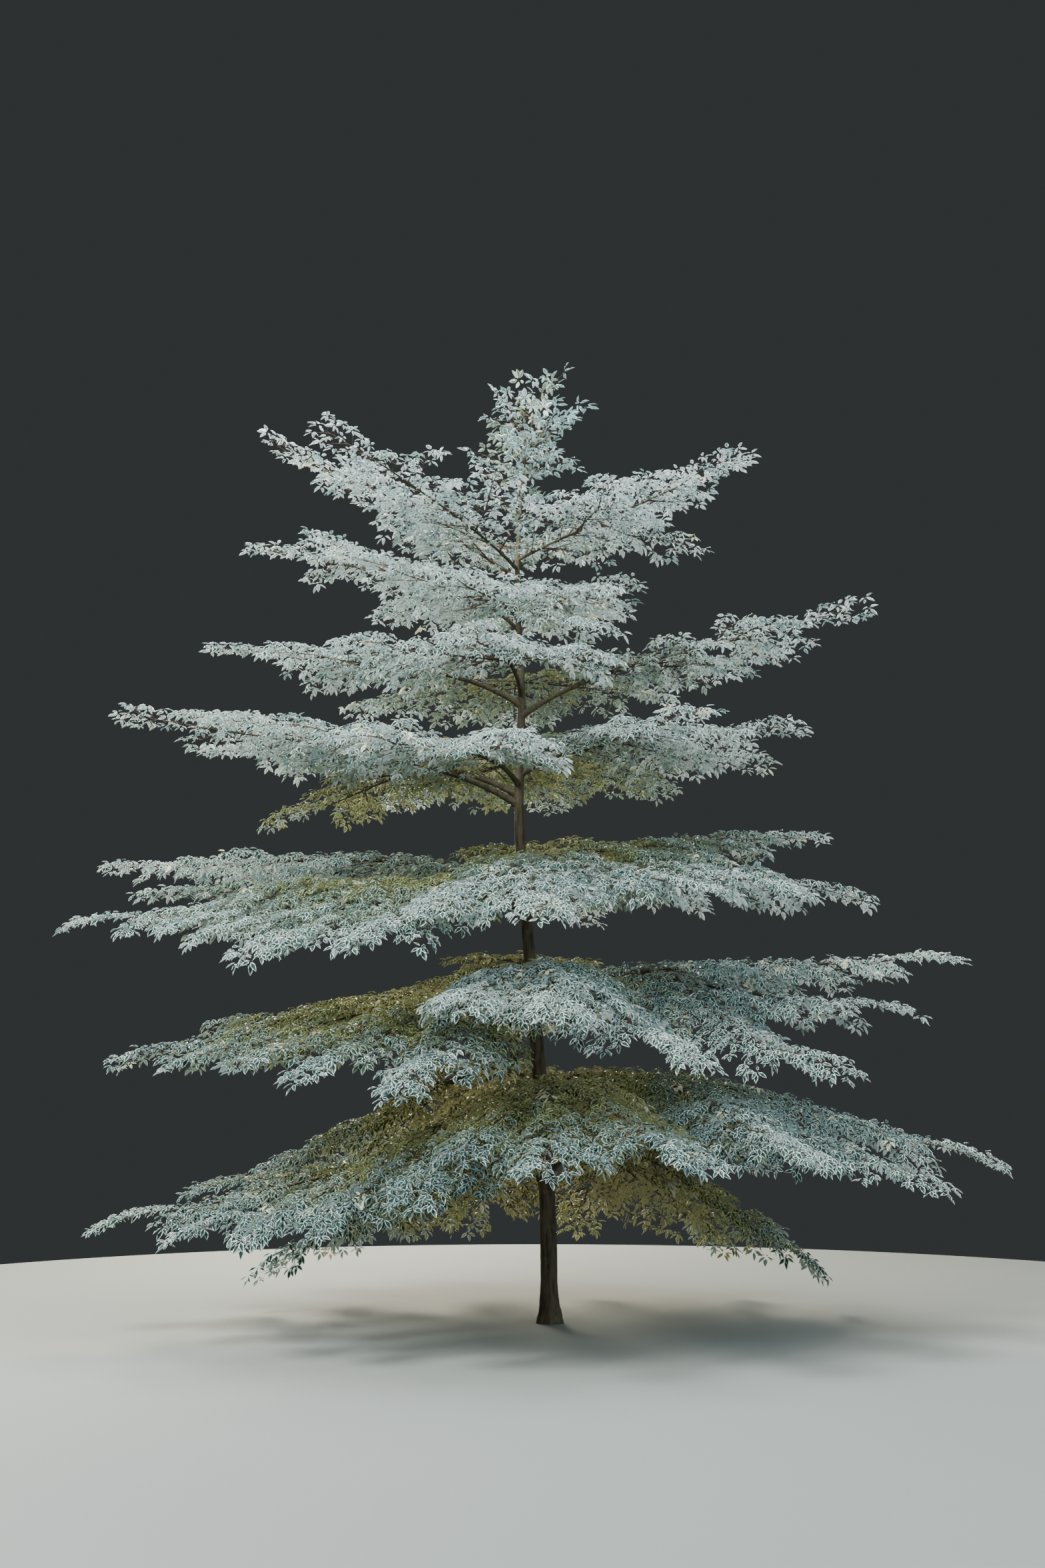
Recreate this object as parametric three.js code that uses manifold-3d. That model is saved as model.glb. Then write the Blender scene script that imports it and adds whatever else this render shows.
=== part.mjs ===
// A wedding cake tree: a slender trunk that carries flat, layered tiers of boughs and a small leader on top.
// Millimetres, +Z up. The origin is the middle of the trunk's flat foot, at ground level.
// Seen from the front, which looks along +Y, +X is to the right. An azimuth turns from +X towards +Y, in degrees.

import * as THREE from "three";
import { mergeVertices } from "three/addons/utils/BufferGeometryUtils.js";
import Module from "manifold-3d";

const wasm = await Module();
wasm.setup();

// Clearances
const SEAT_GAP = 0.3; // between a limb's root and what carries it
const LEAF_CLEARANCE = 6; // between a twig or leaf and every other piece

// The trunk's line as [height, shift to the right], and its taper
const TRUNK_LINE = [
  [0, 0],
  [1000, -20],
  [1900, -80],
  [3000, -170],
  [3900, -235],
  [4900, -215],
  [6050, -250],
  [6750, -210],
];
const TRUNK_FOOT_RADIUS = 66;
const TRUNK_TIP_RADIUS = 13;
const TRUNK_TAPER_POWER = 1.25;
const FLARE_RADIUS = 40; // how far the root flare stands out from the foot
const FLARE_HEIGHT = 380;
const TRUNK_SIDES = 12;
const TRUNK_STEPS = 18;

// Boughs
const BOUGH_RADIUS_SHARE = 0.0078; // a bough's radius at its root, as a share of its reach
const BOUGH_LEAST_RADIUS = 15;
const BOUGH_TAPER = 0.62; // how much of its radius a bough loses from its root to its furthest tip
const BOUGH_SIDES = 5;
const BOUGH_STEPS = 3;
const WHORL_STEP = 82; // height between the roots of two boughs of one tier
const SHOULDER_POWER = 6; // how early a bough reaches its shoulder
const BOUGH_SWAY = 5; // degrees by which a bough bends sideways on its way out

// Foliage
const STEM_SIDES = 3;
const STEM_STEP_LENGTH = 1100;
const TWIG_RADIUS = 12;
const TWIG_TIP_RADIUS = 6;
const TWIG_ANGLE = 55;
const TWIG_LENGTH = 250;
const TWIG_LEAF_SIZE = 0.85;
const LEAF_LENGTH = 730;
const LEAF_WIDTH_SHARE = 0.6;
const LEAF_THICKNESS = 18;
const LEAF_THICKEST = 0.12; // where along the leaf it is thickest
const LEAF_WIDEST = 0.4; // where along the leaf it is widest
const LEAF_ROOT_DEPTH = 3; // how far a leaf's root is sunk past the middle of its twig
const LEAF_SPACING = 860; // along a limb, between two leaves of one side
const LEAF_TILT_WOBBLE = 8;
const LEAF_ROLL_WOBBLE = 14;
const SIDE_LEAF_ANGLE = 50;
const TIP_NARROWING = 0.42; // how much shorter a limb's side leaves are at its tip than at its root
const LEAF_SIZES = [1, 0.85, 0.68]; // tried in turn, until the leaf is clear of its neighbours
const OWN_LEAF_GAP = 2; // between a leaf and the rest of its mass, but for the limb it stands on
const TRUNK_LIMB_BARE_SHARE = 0.1; // of a limb that starts on the trunk
const GROUND_CLEARANCE = 40; // lowest that a leaf may hang above the ground

// Each tier: its height on the trunk, how far its boughs rise to a shoulder before they level out, by how many degrees
// its side leaves hang below their limb's own slope, and its boughs.
// A bough is [side, azimuth, reach, height of its tip, bare share, lobes], and where it rises less or more than its
// tier does, the share of the shoulder that it has.
// A lobe is a side limb's tip: [azimuth, reach, height]. A bare share of 0 is foliage that sits on the trunk itself.
const TIERS = [
  {
    height: 6060,
    shoulder: 60,
    droop: 5,
    boughs: [
      ["left", 181, 2310, 7270, 0, []],
      ["front_left", 230, 2300, 6540, 0, [[203, 1700, 6620], [256, 1700, 6300]]],
      ["front_right", 335, 2150, 6680, 0, [[357, 1980, 6930], [306, 1780, 6240], [338, 1750, 6160]]],
      ["back", 80, 1800, 6900, 0, [[120, 1800, 6850], [40, 1650, 6800]]],
    ],
  },
  {
    height: 5600,
    shoulder: 90,
    droop: 7,
    boughs: [
      ["left", 177, 2400, 6230, 0, [[160, 2200, 6560]], 4],
      ["front", 252, 2000, 5300, 0, [[226, 2000, 5620], [286, 1500, 5080]]],
      ["right", 345, 1100, 5760, 0, [[303, 1500, 5370], [28, 1150, 5830]]],
      ["back", 98, 1950, 6020, 0, [[66, 1850, 6050], [130, 2050, 6050]]],
    ],
  },
  {
    height: 4870,
    shoulder: 260,
    droop: 9,
    boughs: [
      ["right", 355, 2910, 5590, 0.3, [[12, 2500, 5420]]],
      ["left", 184, 2580, 5240, 0.3, [[202, 2250, 5020]]],
      ["front", 258, 2300, 4760, 0.26, [[238, 2400, 4740], [284, 1900, 4700]]],
      ["back", 92, 2400, 5180, 0, [[50, 2050, 5230], [132, 2350, 5170]]],
    ],
  },
  {
    height: 4200,
    shoulder: 260,
    droop: 9,
    boughs: [
      ["left", 189, 3250, 4620, 0.22, [[204, 2650, 4430]]],
      ["back_left", 157, 3120, 4720, 0.22, [[173, 2780, 4780]]],
      ["front_left", 243, 2650, 3960, 0.26, [[224, 2600, 4200], [266, 2600, 3900]]],
      ["right", 352, 2370, 4540, 0.24, [[306, 2450, 4230], [20, 2370, 4480]]],
      ["back", 84, 2500, 4420, 0, [[118, 2600, 4380], [54, 2350, 4450]]],
      ["low_left", 147, 2700, 4060, 0, []],
    ],
  },
  {
    height: 3330,
    shoulder: 430,
    droop: 14,
    boughs: [
      ["left", 191, 3660, 2870, 0.2, [[180, 3200, 3200], [206, 3000, 2780]]],
      ["back_left", 162, 3910, 3650, 0.2, [[146, 3450, 3720]]],
      ["front_left", 232, 3120, 2430, 0.22, [[219, 3000, 2600], [246, 2950, 2480]]],
      ["front", 271, 2980, 2640, 0.22, [[258, 2900, 2660], [298, 2650, 2880]]],
      ["right", 352, 2800, 3120, 0.22, [[12, 2680, 3740], [325, 2600, 2980]]],
      ["back", 76, 2700, 3320, 0, [[44, 2350, 3280], [112, 3000, 3400]]],
    ],
  },
  {
    height: 2400,
    shoulder: 560,
    droop: 16,
    boughs: [
      ["left", 186, 3340, 1860, 0.2, [[202, 2950, 1800], [168, 2900, 2150]]],
      ["front_left", 238, 2900, 1680, 0.24, [[222, 2850, 1740], [254, 3100, 1580]]],
      ["front", 272, 3150, 2040, 0.24, [[260, 3000, 2080], [288, 2980, 1760]]],
      ["right", 355, 3400, 2700, 0.2, [[343, 3050, 2230], [318, 2950, 1750]], 0.35],
      ["back", 90, 3000, 2280, 0, [[130, 3000, 2220], [48, 2850, 2300]]],
    ],
  },
  {
    height: 1480,
    shoulder: 720,
    droop: 16,
    boughs: [
      ["left", 191, 3410, 690, 0.2, [[209, 3050, 640], [174, 2900, 900]], 0.28],
      ["front_left", 238, 2950, 720, 0.22, [[226, 2950, 650], [251, 2900, 900]]],
      ["front", 270, 3280, 1120, 0.22, [[259, 2900, 1170], [284, 3250, 1170]]],
      ["right", 353, 3530, 1110, 0.2, [[330, 3250, 950], [306, 3150, 1130]]],
      ["back_right", 46, 3000, 980, 0, [[24, 2950, 1050], [72, 2850, 950]]],
      ["back_left", 128, 3000, 920, 0, [[104, 2850, 950], [150, 2950, 880]]],
    ],
  },
  {
    height: 1020,
    shoulder: 800,
    droop: 14,
    boughs: [
      ["back_left", 168, 2520, 140, 0, [[142, 2400, 240], [112, 2150, 330]]],
      ["back_right", 18, 2520, 115, 0, [[46, 2500, 210], [76, 2200, 320]]],
    ],
  },
];

// The leader's foliage: the shoot that goes on from the trunk's tip, and its side shoots as [tip, fork]
const LEADER_TOP = [0, 0, 7980];
const LEADER_SHOOTS = [
  [[320, -40, 7450], 0.4],
  [[-460, -40, 6980], 0.16],
  [[120, 60, 6920], 0.1],
  [[-400, 60, 7600], 0.5],
  [[-200, -80, 7460], 0.55],
  [[-80, 440, 7300], 0.2],
  [[60, -420, 7260], 0.2],
  [[-440, 160, 6900], 0.04],
  [[60, -200, 6840], 0.04],
  [[-160, -480, 6960], 0.07],
];
const LEADER_STEPS = 3;
const LEADER_LEAVES = 6;
const SHOOT_LEAVES = 2;
const LEAF_TURN = 2.4; // radians from one leaf to the next round an upright shoot

const BARK = new THREE.MeshStandardMaterial({ color: 0x6b5a47, roughness: 0.9, metalness: 0 });
const BOUGH_BARK = new THREE.MeshStandardMaterial({ color: 0x5f5344, roughness: 0.85, metalness: 0 });
const FOLIAGE = new THREE.MeshStandardMaterial({ color: 0xa9bba9, roughness: 0.6, metalness: 0 });

const UP = new THREE.Vector3(0, 0, 1);
const radians = THREE.MathUtils.degToRad;

// A repeatable random number generator: every call gives the next number from 0 to 1.
function seeded(seed) {
  let state = seed >>> 0;
  return () => {
    state = (state + 0x6d2b79f5) >>> 0;
    let t = Math.imul(state ^ (state >>> 15), state | 1);
    t ^= t + Math.imul(t ^ (t >>> 7), t | 61);
    return ((t ^ (t >>> 14)) >>> 0) / 4294967296;
  };
}

// The manifold solid of a three.js geometry.
function solidOf(geometry) {
  geometry.deleteAttribute("normal");
  geometry.deleteAttribute("uv");
  const merged = mergeVertices(geometry, 1e-3);
  return new wasm.Manifold(
    new wasm.Mesh({
      numProp: 3,
      vertProperties: new Float32Array(merged.attributes.position.array),
      triVerts: new Uint32Array(merged.index.array),
    }),
  );
}

// The three.js geometry of a manifold solid.
function geometryOf(solid) {
  const mesh = solid.getMesh();
  const geometry = new THREE.BufferGeometry();
  geometry.setAttribute("position", new THREE.BufferAttribute(mesh.vertProperties, 3));
  geometry.setIndex(new THREE.BufferAttribute(mesh.triVerts, 1));
  geometry.computeVertexNormals();
  return geometry;
}

// The largest of a solid's separate bodies, without its loose scraps.
function largestBody(solid) {
  const bodies = solid.decompose();
  return bodies.reduce((best, body) => (body.volume() > best.volume() ? body : best));
}

// A closed tapered limb along a curve from share `from` to share `to`. `reference` is a direction it never runs along.
function taperedLimb(curve, from, to, radiusAt, sides, steps, reference = UP) {
  const geometry = new THREE.CylinderGeometry(1, 1, 1, sides, steps);
  const position = geometry.attributes.position;
  const vertex = new THREE.Vector3();
  const sideways = new THREE.Vector3();
  const upward = new THREE.Vector3();
  for (let i = 0; i < position.count; i++) {
    vertex.fromBufferAttribute(position, i);
    const share = from + (to - from) * (vertex.y + 0.5);
    const along = curve.getTangent(share);
    const radius = radiusAt(share);
    sideways.crossVectors(along, reference).normalize();
    upward.crossVectors(sideways, along);
    const point = curve.getPoint(share);
    point.addScaledVector(sideways, vertex.x * radius).addScaledVector(upward, vertex.z * radius);
    position.setXYZ(i, point.x, point.y, point.z);
  }
  return solidOf(geometry);
}

// The trunk's line. Its share runs with height, from 0 at the ground to 1 at the tip.
class TrunkLine extends THREE.Curve {
  getPoint(share, target = new THREE.Vector3()) {
    const height = share * TRUNK_HEIGHT;
    const last = TRUNK_LINE.length - 1;
    const next = Math.max(1, Math.min(last, TRUNK_LINE.findIndex(([level]) => level >= height)));
    const knot = (i) => TRUNK_LINE[Math.max(0, Math.min(last, i))];
    const [low, high] = [knot(next - 1), knot(next)];
    const t = (height - low[0]) / (high[0] - low[0]);
    const slope = (i) => (knot(i + 1)[1] - knot(i - 1)[1]) / (knot(i + 1)[0] - knot(i - 1)[0]);
    const span = high[0] - low[0];
    const shift =
      low[1] * (1 + 2 * t) * (1 - t) ** 2 +
      high[1] * t * t * (3 - 2 * t) +
      slope(next - 1) * span * t * (1 - t) ** 2 -
      slope(next) * span * t * t * (1 - t);
    return target.set(shift, 0, height);
  }
}

// A bough's line from the trunk's middle to its tip: it rises to a shoulder, then runs out level or droops.
class BoughLine extends THREE.Curve {
  constructor(foot, azimuth, reach, tipHeight, shoulder) {
    super();
    Object.assign(this, { foot, azimuth, reach, tipHeight, shoulder });
  }
  getPoint(share, target = new THREE.Vector3()) {
    const turn = radians(this.azimuth + BOUGH_SWAY * (1 - share) ** 2);
    const left = Math.max(0, 1 - share);
    const rise = this.shoulder * (left - left ** SHOULDER_POWER);
    return target.set(
      this.foot.x + this.reach * share * Math.cos(turn),
      this.foot.y + this.reach * share * Math.sin(turn),
      this.foot.z + (this.tipHeight - this.foot.z) * share + rise,
    );
  }
}

const TRUNK_HEIGHT = TRUNK_LINE[TRUNK_LINE.length - 1][0];
const trunkLine = new TrunkLine();

function trunkRadius(share) {
  const height = share * TRUNK_HEIGHT;
  const taper = TRUNK_TIP_RADIUS + (TRUNK_FOOT_RADIUS - TRUNK_TIP_RADIUS) * (1 - share ** TRUNK_TAPER_POWER);
  const flare = FLARE_RADIUS * Math.max(0, 1 - height / FLARE_HEIGHT) ** 3;
  return taper + flare;
}

// The trunk, as thick as it is or grown by a clearance. Its rings lie closer together at the flare.
function makeTrunk(grown = 0) {
  const eased = new THREE.Curve();
  const easing = (share) => share ** 1.5;
  eased.getPoint = (share, target) => trunkLine.getPoint(easing(share), target);
  eased.getTangent = () => UP.clone();
  const radiusAt = (share) => trunkRadius(easing(share)) + grown;
  return taperedLimb(eased, 0, 1, radiusAt, TRUNK_SIDES, TRUNK_STEPS, new THREE.Vector3(0, 1, 0));
}

// A leaf that stands for a spray: an octahedron drawn out flat, with its root sunk behind `root`.
function makeLeaf(root, heading, tilt, roll, length) {
  const geometry = new THREE.OctahedronGeometry(1);
  const position = geometry.attributes.position;
  const width = length * LEAF_WIDTH_SHARE;
  for (let i = 0; i < position.count; i++) {
    const [x, y, z] = [position.getX(i), position.getY(i), position.getZ(i)];
    const middle = Math.abs(z) > 0.5 ? LEAF_THICKEST : LEAF_WIDEST;
    const along = x > 0.5 ? length : x < -0.5 ? -LEAF_ROOT_DEPTH : length * middle;
    position.setXYZ(i, along, (y * width) / 2, (z * LEAF_THICKNESS) / 2);
  }
  geometry.rotateX(radians(roll));
  geometry.rotateY(radians(tilt));
  geometry.rotateZ(heading);
  geometry.translate(root.x, root.y, root.z);
  return solidOf(geometry);
}

// Keeps what already stands, and tells whether a new twig or leaf is clear of it.
class Space {
  constructor() {
    this.standing = [];
  }
  add(owner, solid) {
    this.standing.push({ owner, solid, box: solid.boundingBox() });
  }
  isClear(owner, solid) {
    const box = solid.boundingBox();
    if (box.min[2] < GROUND_CLEARANCE) return false;
    return !this.standing.some((other) => {
      if (other.owner === owner) return false;
      const apart = [0, 1, 2].some(
        (axis) =>
          other.box.min[axis] > box.max[axis] + LEAF_CLEARANCE ||
          other.box.max[axis] < box.min[axis] - LEAF_CLEARANCE,
      );
      return !apart && solid.minGap(other.solid, LEAF_CLEARANCE) < LEAF_CLEARANCE;
    });
  }
}

const headingOf = (direction) => Math.atan2(direction.y, direction.x);
const slopeOf = (direction) => THREE.MathUtils.radToDeg(Math.atan2(direction.z, Math.hypot(direction.x, direction.y)));

// A limb's middle line as the straight runs between the rings of its solid, so that a point on it lies in the wood.
function straightRuns(curve, from, to, steps) {
  const path = new THREE.CurvePath();
  for (let i = 0; i < steps; i++) {
    const [start, end] = [i, i + 1].map((k) => curve.getPoint(from + ((to - from) * k) / steps));
    path.add(new THREE.LineCurve3(start, end));
  }
  return path;
}

// A limb of a mass: its middle line and its solid, a three-sided taper.
function makeLimb(curve, from, to, radiusAt, gap = 0) {
  const length = curve.getLength() * (to - from);
  const steps = Math.max(2, Math.round(length / STEM_STEP_LENGTH));
  const start = from + gap / length;
  const line = straightRuns(curve, start, to, steps);
  return { line, solid: taperedLimb(curve, start, to, radiusAt, STEM_SIDES, steps) };
}

// A twig's line: straight, out from a limb to one side, with the limb's own slope.
function twigLine(limb, share, side) {
  const start = limb.getPoint(share);
  const along = limb.getTangent(share);
  const leave = headingOf(along) + side * radians(TWIG_ANGLE);
  const way = new THREE.Vector3(Math.cos(leave), Math.sin(leave), along.z * Math.cos(radians(TWIG_ANGLE)));
  return new THREE.LineCurve3(start, start.clone().addScaledVector(way, TWIG_LENGTH));
}

const limbRadius = (bough, share) => Math.max(TWIG_RADIUS, bough.radius * (1 - BOUGH_TAPER * share));
const tipShare = (reach) => 1 - (0.94 * LEAF_LENGTH) / reach;

// The limbs of one foliage mass: the stem that goes on from its bough, and a side limb to each lobe.
function makeLimbs(bough) {
  const { line, bare, reach, lobes } = bough;
  const tip = tipShare(reach);
  const stem = makeLimb(line, bare, tip, (share) => limbRadius(bough, share), bare > 0 ? SEAT_GAP : 0);
  const sides = lobes.map(([azimuth, lobeReach, height], i) => {
    const fork = (Math.max(bare + 0.03, 0.16) + 0.09 * i - bare) / (tip - bare);
    const start = stem.line.getPoint(fork);
    const target = new BoughLine(line.foot, azimuth, lobeReach, height, line.shoulder);
    const control = target.getPoint(0.55);
    const end = target.getPoint(tipShare(lobeReach));
    control.lerp(start.clone().lerp(end, 0.5), 0.3);
    const curve = new THREE.QuadraticBezierCurve3(start, control, end);
    return makeLimb(curve, 0, 1, (share) => limbRadius(bough, 0.35 + 0.6 * share));
  });
  return [{ ...stem, isStem: true, onTrunk: bare === 0 }, ...sides];
}

// A mass of foliage as it grows: its wood and its leaves, each kept clear of what it may not touch.
class Growth {
  constructor(owner, space, random, droop = 0) {
    Object.assign(this, { owner, space, random, droop, wood: [], leaves: [] });
  }
  wobble(size) {
    return (this.random() - 0.5) * 2 * size;
  }
  addTwig(line) {
    const radiusAt = (share) => TWIG_RADIUS + (TWIG_TIP_RADIUS - TWIG_RADIUS) * share;
    const solid = taperedLimb(line, 0, 1, radiusAt, STEM_SIDES, 1);
    const clear = this.space.isClear(this.owner, solid);
    if (clear) this.wood.push({ line, solid });
    return clear;
  }
  // A leaf on a line, turned by an angle to one side of it.
  addLeaf(line, share, turn, size = 1) {
    const along = line.getTangent(share);
    const heading = headingOf(along) + radians(turn + this.wobble(6));
    const hang = turn === 0 ? 0 : this.droop + this.wobble(LEAF_TILT_WOBBLE);
    const tilt = hang - slopeOf(along) * Math.cos(radians(turn));
    this.placeLeaf(line, share, heading, tilt, size);
  }
  // A leaf on a line, with its own heading and tilt. It is made smaller until it has room, or left out.
  placeLeaf(line, share, heading, tilt, size) {
    const roll = this.wobble(LEAF_ROLL_WOBBLE);
    const length = LEAF_LENGTH * size * (1 + this.wobble(0.06));
    for (const shrink of LEAF_SIZES) {
      const leaf = makeLeaf(line.getPoint(share), heading, tilt, roll, length * shrink);
      const near = (other) => leaf.minGap(other, OWN_LEAF_GAP) < OWN_LEAF_GAP;
      const crowded = this.leaves.some(near) || this.wood.some((piece) => piece.line !== line && near(piece.solid));
      if (!crowded && this.space.isClear(this.owner, leaf)) {
        this.leaves.push(leaf);
        return;
      }
    }
  }
}

// Leaves on both sides of one limb, and one that goes on from its tip. A mass's stem carries every other one on a
// twig, which has a second leaf half way. A limb that starts on the trunk stays bare for a while.
function dressLimb({ line, isStem, onTrunk }, growth) {
  const length = line.getLength();
  const first = onTrunk ? TRUNK_LIMB_BARE_SHARE : 0;
  const count = Math.max(1, Math.round((length * (1 - first)) / LEAF_SPACING));
  growth.addLeaf(line, 1 - 40 / length, 0);
  for (let i = count - 1; i >= 0; i--) {
    for (const side of [1, -1]) {
      const place = Math.min(0.94, (i + 0.75 + side * 0.18 + growth.wobble(0.1)) / (count + 0.3));
      const share = first + (1 - first) * place;
      const size = 1 - TIP_NARROWING * place ** 2;
      const onTwig = isStem && (i % 2 === 0) === side > 0 && i < count - 1;
      const twig = onTwig ? twigLine(line, share, side) : null;
      if (twig && growth.addTwig(twig)) {
        growth.addLeaf(twig, 0.8, side * 4, size * TWIG_LEAF_SIZE);
        growth.addLeaf(twig, 0.5, -side * SIDE_LEAF_ANGLE, size * TWIG_LEAF_SIZE);
      } else {
        growth.addLeaf(line, share, side * SIDE_LEAF_ANGLE, size);
      }
    }
  }
}

// The boughs of every tier, worked out from the table.
function planBoughs() {
  return TIERS.flatMap((tier, t) =>
    tier.boughs.map(([side, azimuth, reach, tipHeight, bare, lobes, rise = 1], i) => {
      const middle = (tier.boughs.length - 1) / 2;
      const foot = trunkLine.getPoint((tier.height + (i - middle) * WHORL_STEP) / TRUNK_HEIGHT);
      const line = new BoughLine(foot, azimuth, reach, tipHeight, tier.shoulder * rise);
      const radius = Math.max(BOUGH_LEAST_RADIUS, reach * BOUGH_RADIUS_SHARE);
      const seed = 100 * (t + 1) + i;
      return { name: `tier${t + 1}_${side}`, line, reach, bare, lobes, radius, droop: tier.droop, seed };
    }),
  );
}

// The leader's limbs: the shoot on top of the trunk and its straight side shoots.
function makeLeaderLimbs(tip) {
  const top = new THREE.Vector3(...LEADER_TOP);
  const reach = top.z - tip.z;
  const curve = new THREE.QuadraticBezierCurve3(
    new THREE.Vector3(tip.x, tip.y, tip.z + SEAT_GAP),
    new THREE.Vector3(tip.x, tip.y, tip.z + reach * 0.45),
    new THREE.Vector3(top.x, top.y, top.z - LEAF_LENGTH * 0.54),
  );
  const across = new THREE.Vector3(0, 1, 0);
  const taper = (thick) => (share) => thick - 3 * share;
  const shoot = {
    line: straightRuns(curve, 0, 1, LEADER_STEPS),
    solid: taperedLimb(curve, 0, 1, taper(TRUNK_TIP_RADIUS * 0.8), STEM_SIDES, LEADER_STEPS, across),
  };
  const sides = LEADER_SHOOTS.map(([end, fork]) => {
    const start = shoot.line.getPoint(fork);
    const line = new THREE.LineCurve3(start, start.clone().lerp(new THREE.Vector3(...end), 0.5));
    return { line, solid: taperedLimb(line, 0, 1, taper(10), STEM_SIDES, 1, across) };
  });
  return [shoot, ...sides];
}

// The leader's foliage: leaves stand up round its steep shoots, turning a little further each time.
function makeLeader(tip, space) {
  const growth = new Growth("leader", space, seeded(7));
  growth.wood.push(...makeLeaderLimbs(tip));
  growth.wood.slice().forEach(({ line }, i) => {
    const leaves = i === 0 ? LEADER_LEAVES : SHOOT_LEAVES;
    const ending = line.getTangent(1);
    growth.placeLeaf(line, 0.96, headingOf(ending), -slopeOf(ending), 0.6);
    for (let k = leaves - 1; k > 0; k--) {
      const heading = i + LEAF_TURN * k + growth.wobble(0.4);
      growth.placeLeaf(line, 0.15 + (0.75 * k) / leaves, heading, -20 + growth.wobble(14), 0.62);
    }
  });
  return largestBody(wasm.Manifold.union([...growth.wood.map(({ solid }) => solid), ...growth.leaves]));
}

function makeMesh(name, solid, material) {
  const mesh = new THREE.Mesh(geometryOf(solid), material);
  mesh.name = name;
  return mesh;
}

function makeTree() {
  const tree = new THREE.Group();
  const space = new Space();
  const trunk = makeTrunk();
  const cutter = makeTrunk(SEAT_GAP);
  tree.add(makeMesh("trunk", trunk, BARK));
  space.add("trunk", trunk);

  const boughs = planBoughs();
  for (const bough of boughs.filter(({ bare }) => bare > 0)) {
    const whole = taperedLimb(bough.line, 0, bough.bare, (s) => limbRadius(bough, s), BOUGH_SIDES, BOUGH_STEPS);
    const limb = largestBody(whole.subtract(cutter));
    tree.add(makeMesh(`bough_${bough.name}`, limb, BOUGH_BARK));
    space.add(`bough_${bough.name}`, limb);
  }

  const skeletons = boughs.map((bough) => {
    const limbs = makeLimbs(bough);
    const whole = wasm.Manifold.union(limbs.map(({ solid }) => solid));
    const skeleton = bough.bare > 0 ? whole : largestBody(whole.subtract(cutter));
    space.add(bough.name, skeleton);
    return { bough, limbs, skeleton };
  });

  for (const { bough, limbs, skeleton } of skeletons) {
    const growth = new Growth(bough.name, space, seeded(bough.seed), bough.droop);
    growth.wood.push(...limbs.map(({ line, solid }) => ({ line, solid })));
    limbs.forEach((limb) => dressLimb(limb, growth));
    const twigs = growth.wood.slice(limbs.length).map(({ solid }) => solid);
    const mass = largestBody(wasm.Manifold.union([skeleton, ...twigs, ...growth.leaves]));
    tree.add(makeMesh(`foliage_${bough.name}`, mass, FOLIAGE));
    space.add(bough.name, mass);
  }

  tree.add(makeMesh("foliage_leader", makeLeader(trunkLine.getPoint(1), space), FOLIAGE));
  return tree;
}

export default makeTree();
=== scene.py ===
"""Looks of a wedding cake tree: bark, twigs and variegated leaves that grow on the part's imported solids.

Metres, +Z up, the origin in the middle of the trunk's flat foot. Seen from the front, which looks along +Y,
+X is to the right, and an azimuth turns from +X towards +Y. The trunk, the boughs and their side limbs follow
the same tables and rule as the part's solids, and go on to branchlets, twigs and sprays of small leaves.
"""

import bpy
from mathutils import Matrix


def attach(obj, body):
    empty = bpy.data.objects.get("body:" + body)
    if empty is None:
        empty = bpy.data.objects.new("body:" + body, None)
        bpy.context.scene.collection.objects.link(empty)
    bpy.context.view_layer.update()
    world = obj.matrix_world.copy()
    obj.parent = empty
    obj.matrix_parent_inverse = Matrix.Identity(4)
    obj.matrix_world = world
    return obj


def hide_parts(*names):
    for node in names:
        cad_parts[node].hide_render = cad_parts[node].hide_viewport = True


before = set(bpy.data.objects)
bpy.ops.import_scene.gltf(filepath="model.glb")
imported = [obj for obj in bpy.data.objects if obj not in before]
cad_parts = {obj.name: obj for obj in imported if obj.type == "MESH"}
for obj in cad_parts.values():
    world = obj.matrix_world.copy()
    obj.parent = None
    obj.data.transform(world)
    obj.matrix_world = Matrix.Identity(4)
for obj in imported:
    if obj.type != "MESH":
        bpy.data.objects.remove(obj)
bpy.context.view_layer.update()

import itertools
import logging
import math
from dataclasses import dataclass, field, replace
from enum import Enum
from typing import Any, Callable, Iterable, NamedTuple

import bpy
import numpy as np
from mathutils import Euler, Vector

LOG = logging.getLogger("wedding_cake_tree")
BODY = "root"
MM = 0.001
GOLDEN_ANGLE = math.radians(137.5)

Colour = tuple[float, float, float]
Point = tuple[float, float, float]
Lobe = tuple[float, float, float]
Span = tuple[float, float]
Socket = bpy.types.NodeSocket
Mesh = bpy.types.Mesh
Material = bpy.types.Material
Inputs = dict[str | int, Any]


class Seeded:
    """A repeatable random number generator, the same as the part's own."""

    MASK = 0xFFFFFFFF
    STEP = 0x6D2B79F5

    def __init__(self, seed: int) -> None:
        """Starts from a whole number that fixes every later draw."""
        self.state = seed & self.MASK

    def draw(self) -> float:
        """Returns the next number from 0 to 1."""
        self.state = (self.state + self.STEP) & self.MASK
        t = ((self.state ^ (self.state >> 15)) * (self.state | 1)) & self.MASK
        t ^= (t + ((t ^ (t >> 7)) * (t | 61))) & self.MASK
        return ((t ^ (t >> 14)) & self.MASK) / (self.MASK + 1)

    def wobble(self, size: float) -> float:
        """Returns the next number from -size to size."""
        return (self.draw() - 0.5) * 2 * size

    def between(self, low: float, high: float) -> float:
        """Returns the next number from low to high."""
        return low + (high - low) * self.draw()


class PaintedLight(Enum):
    """The painted light and shade of a spray: bright-lit and sky-lit copies at the rims, painted shade that
    deepens and turns golden towards the trunk, and the odd painted sunlit one.
    """

    FROST = 0
    SILVER = 1
    SAGE = 2
    OLIVE = 3
    GOLD = 4
    CREAM = 5


class LeafPart(Enum):
    """The two parts of a leaf that have a colour of their own."""

    BLADE = "blade"
    MARGIN = "margin"


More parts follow.
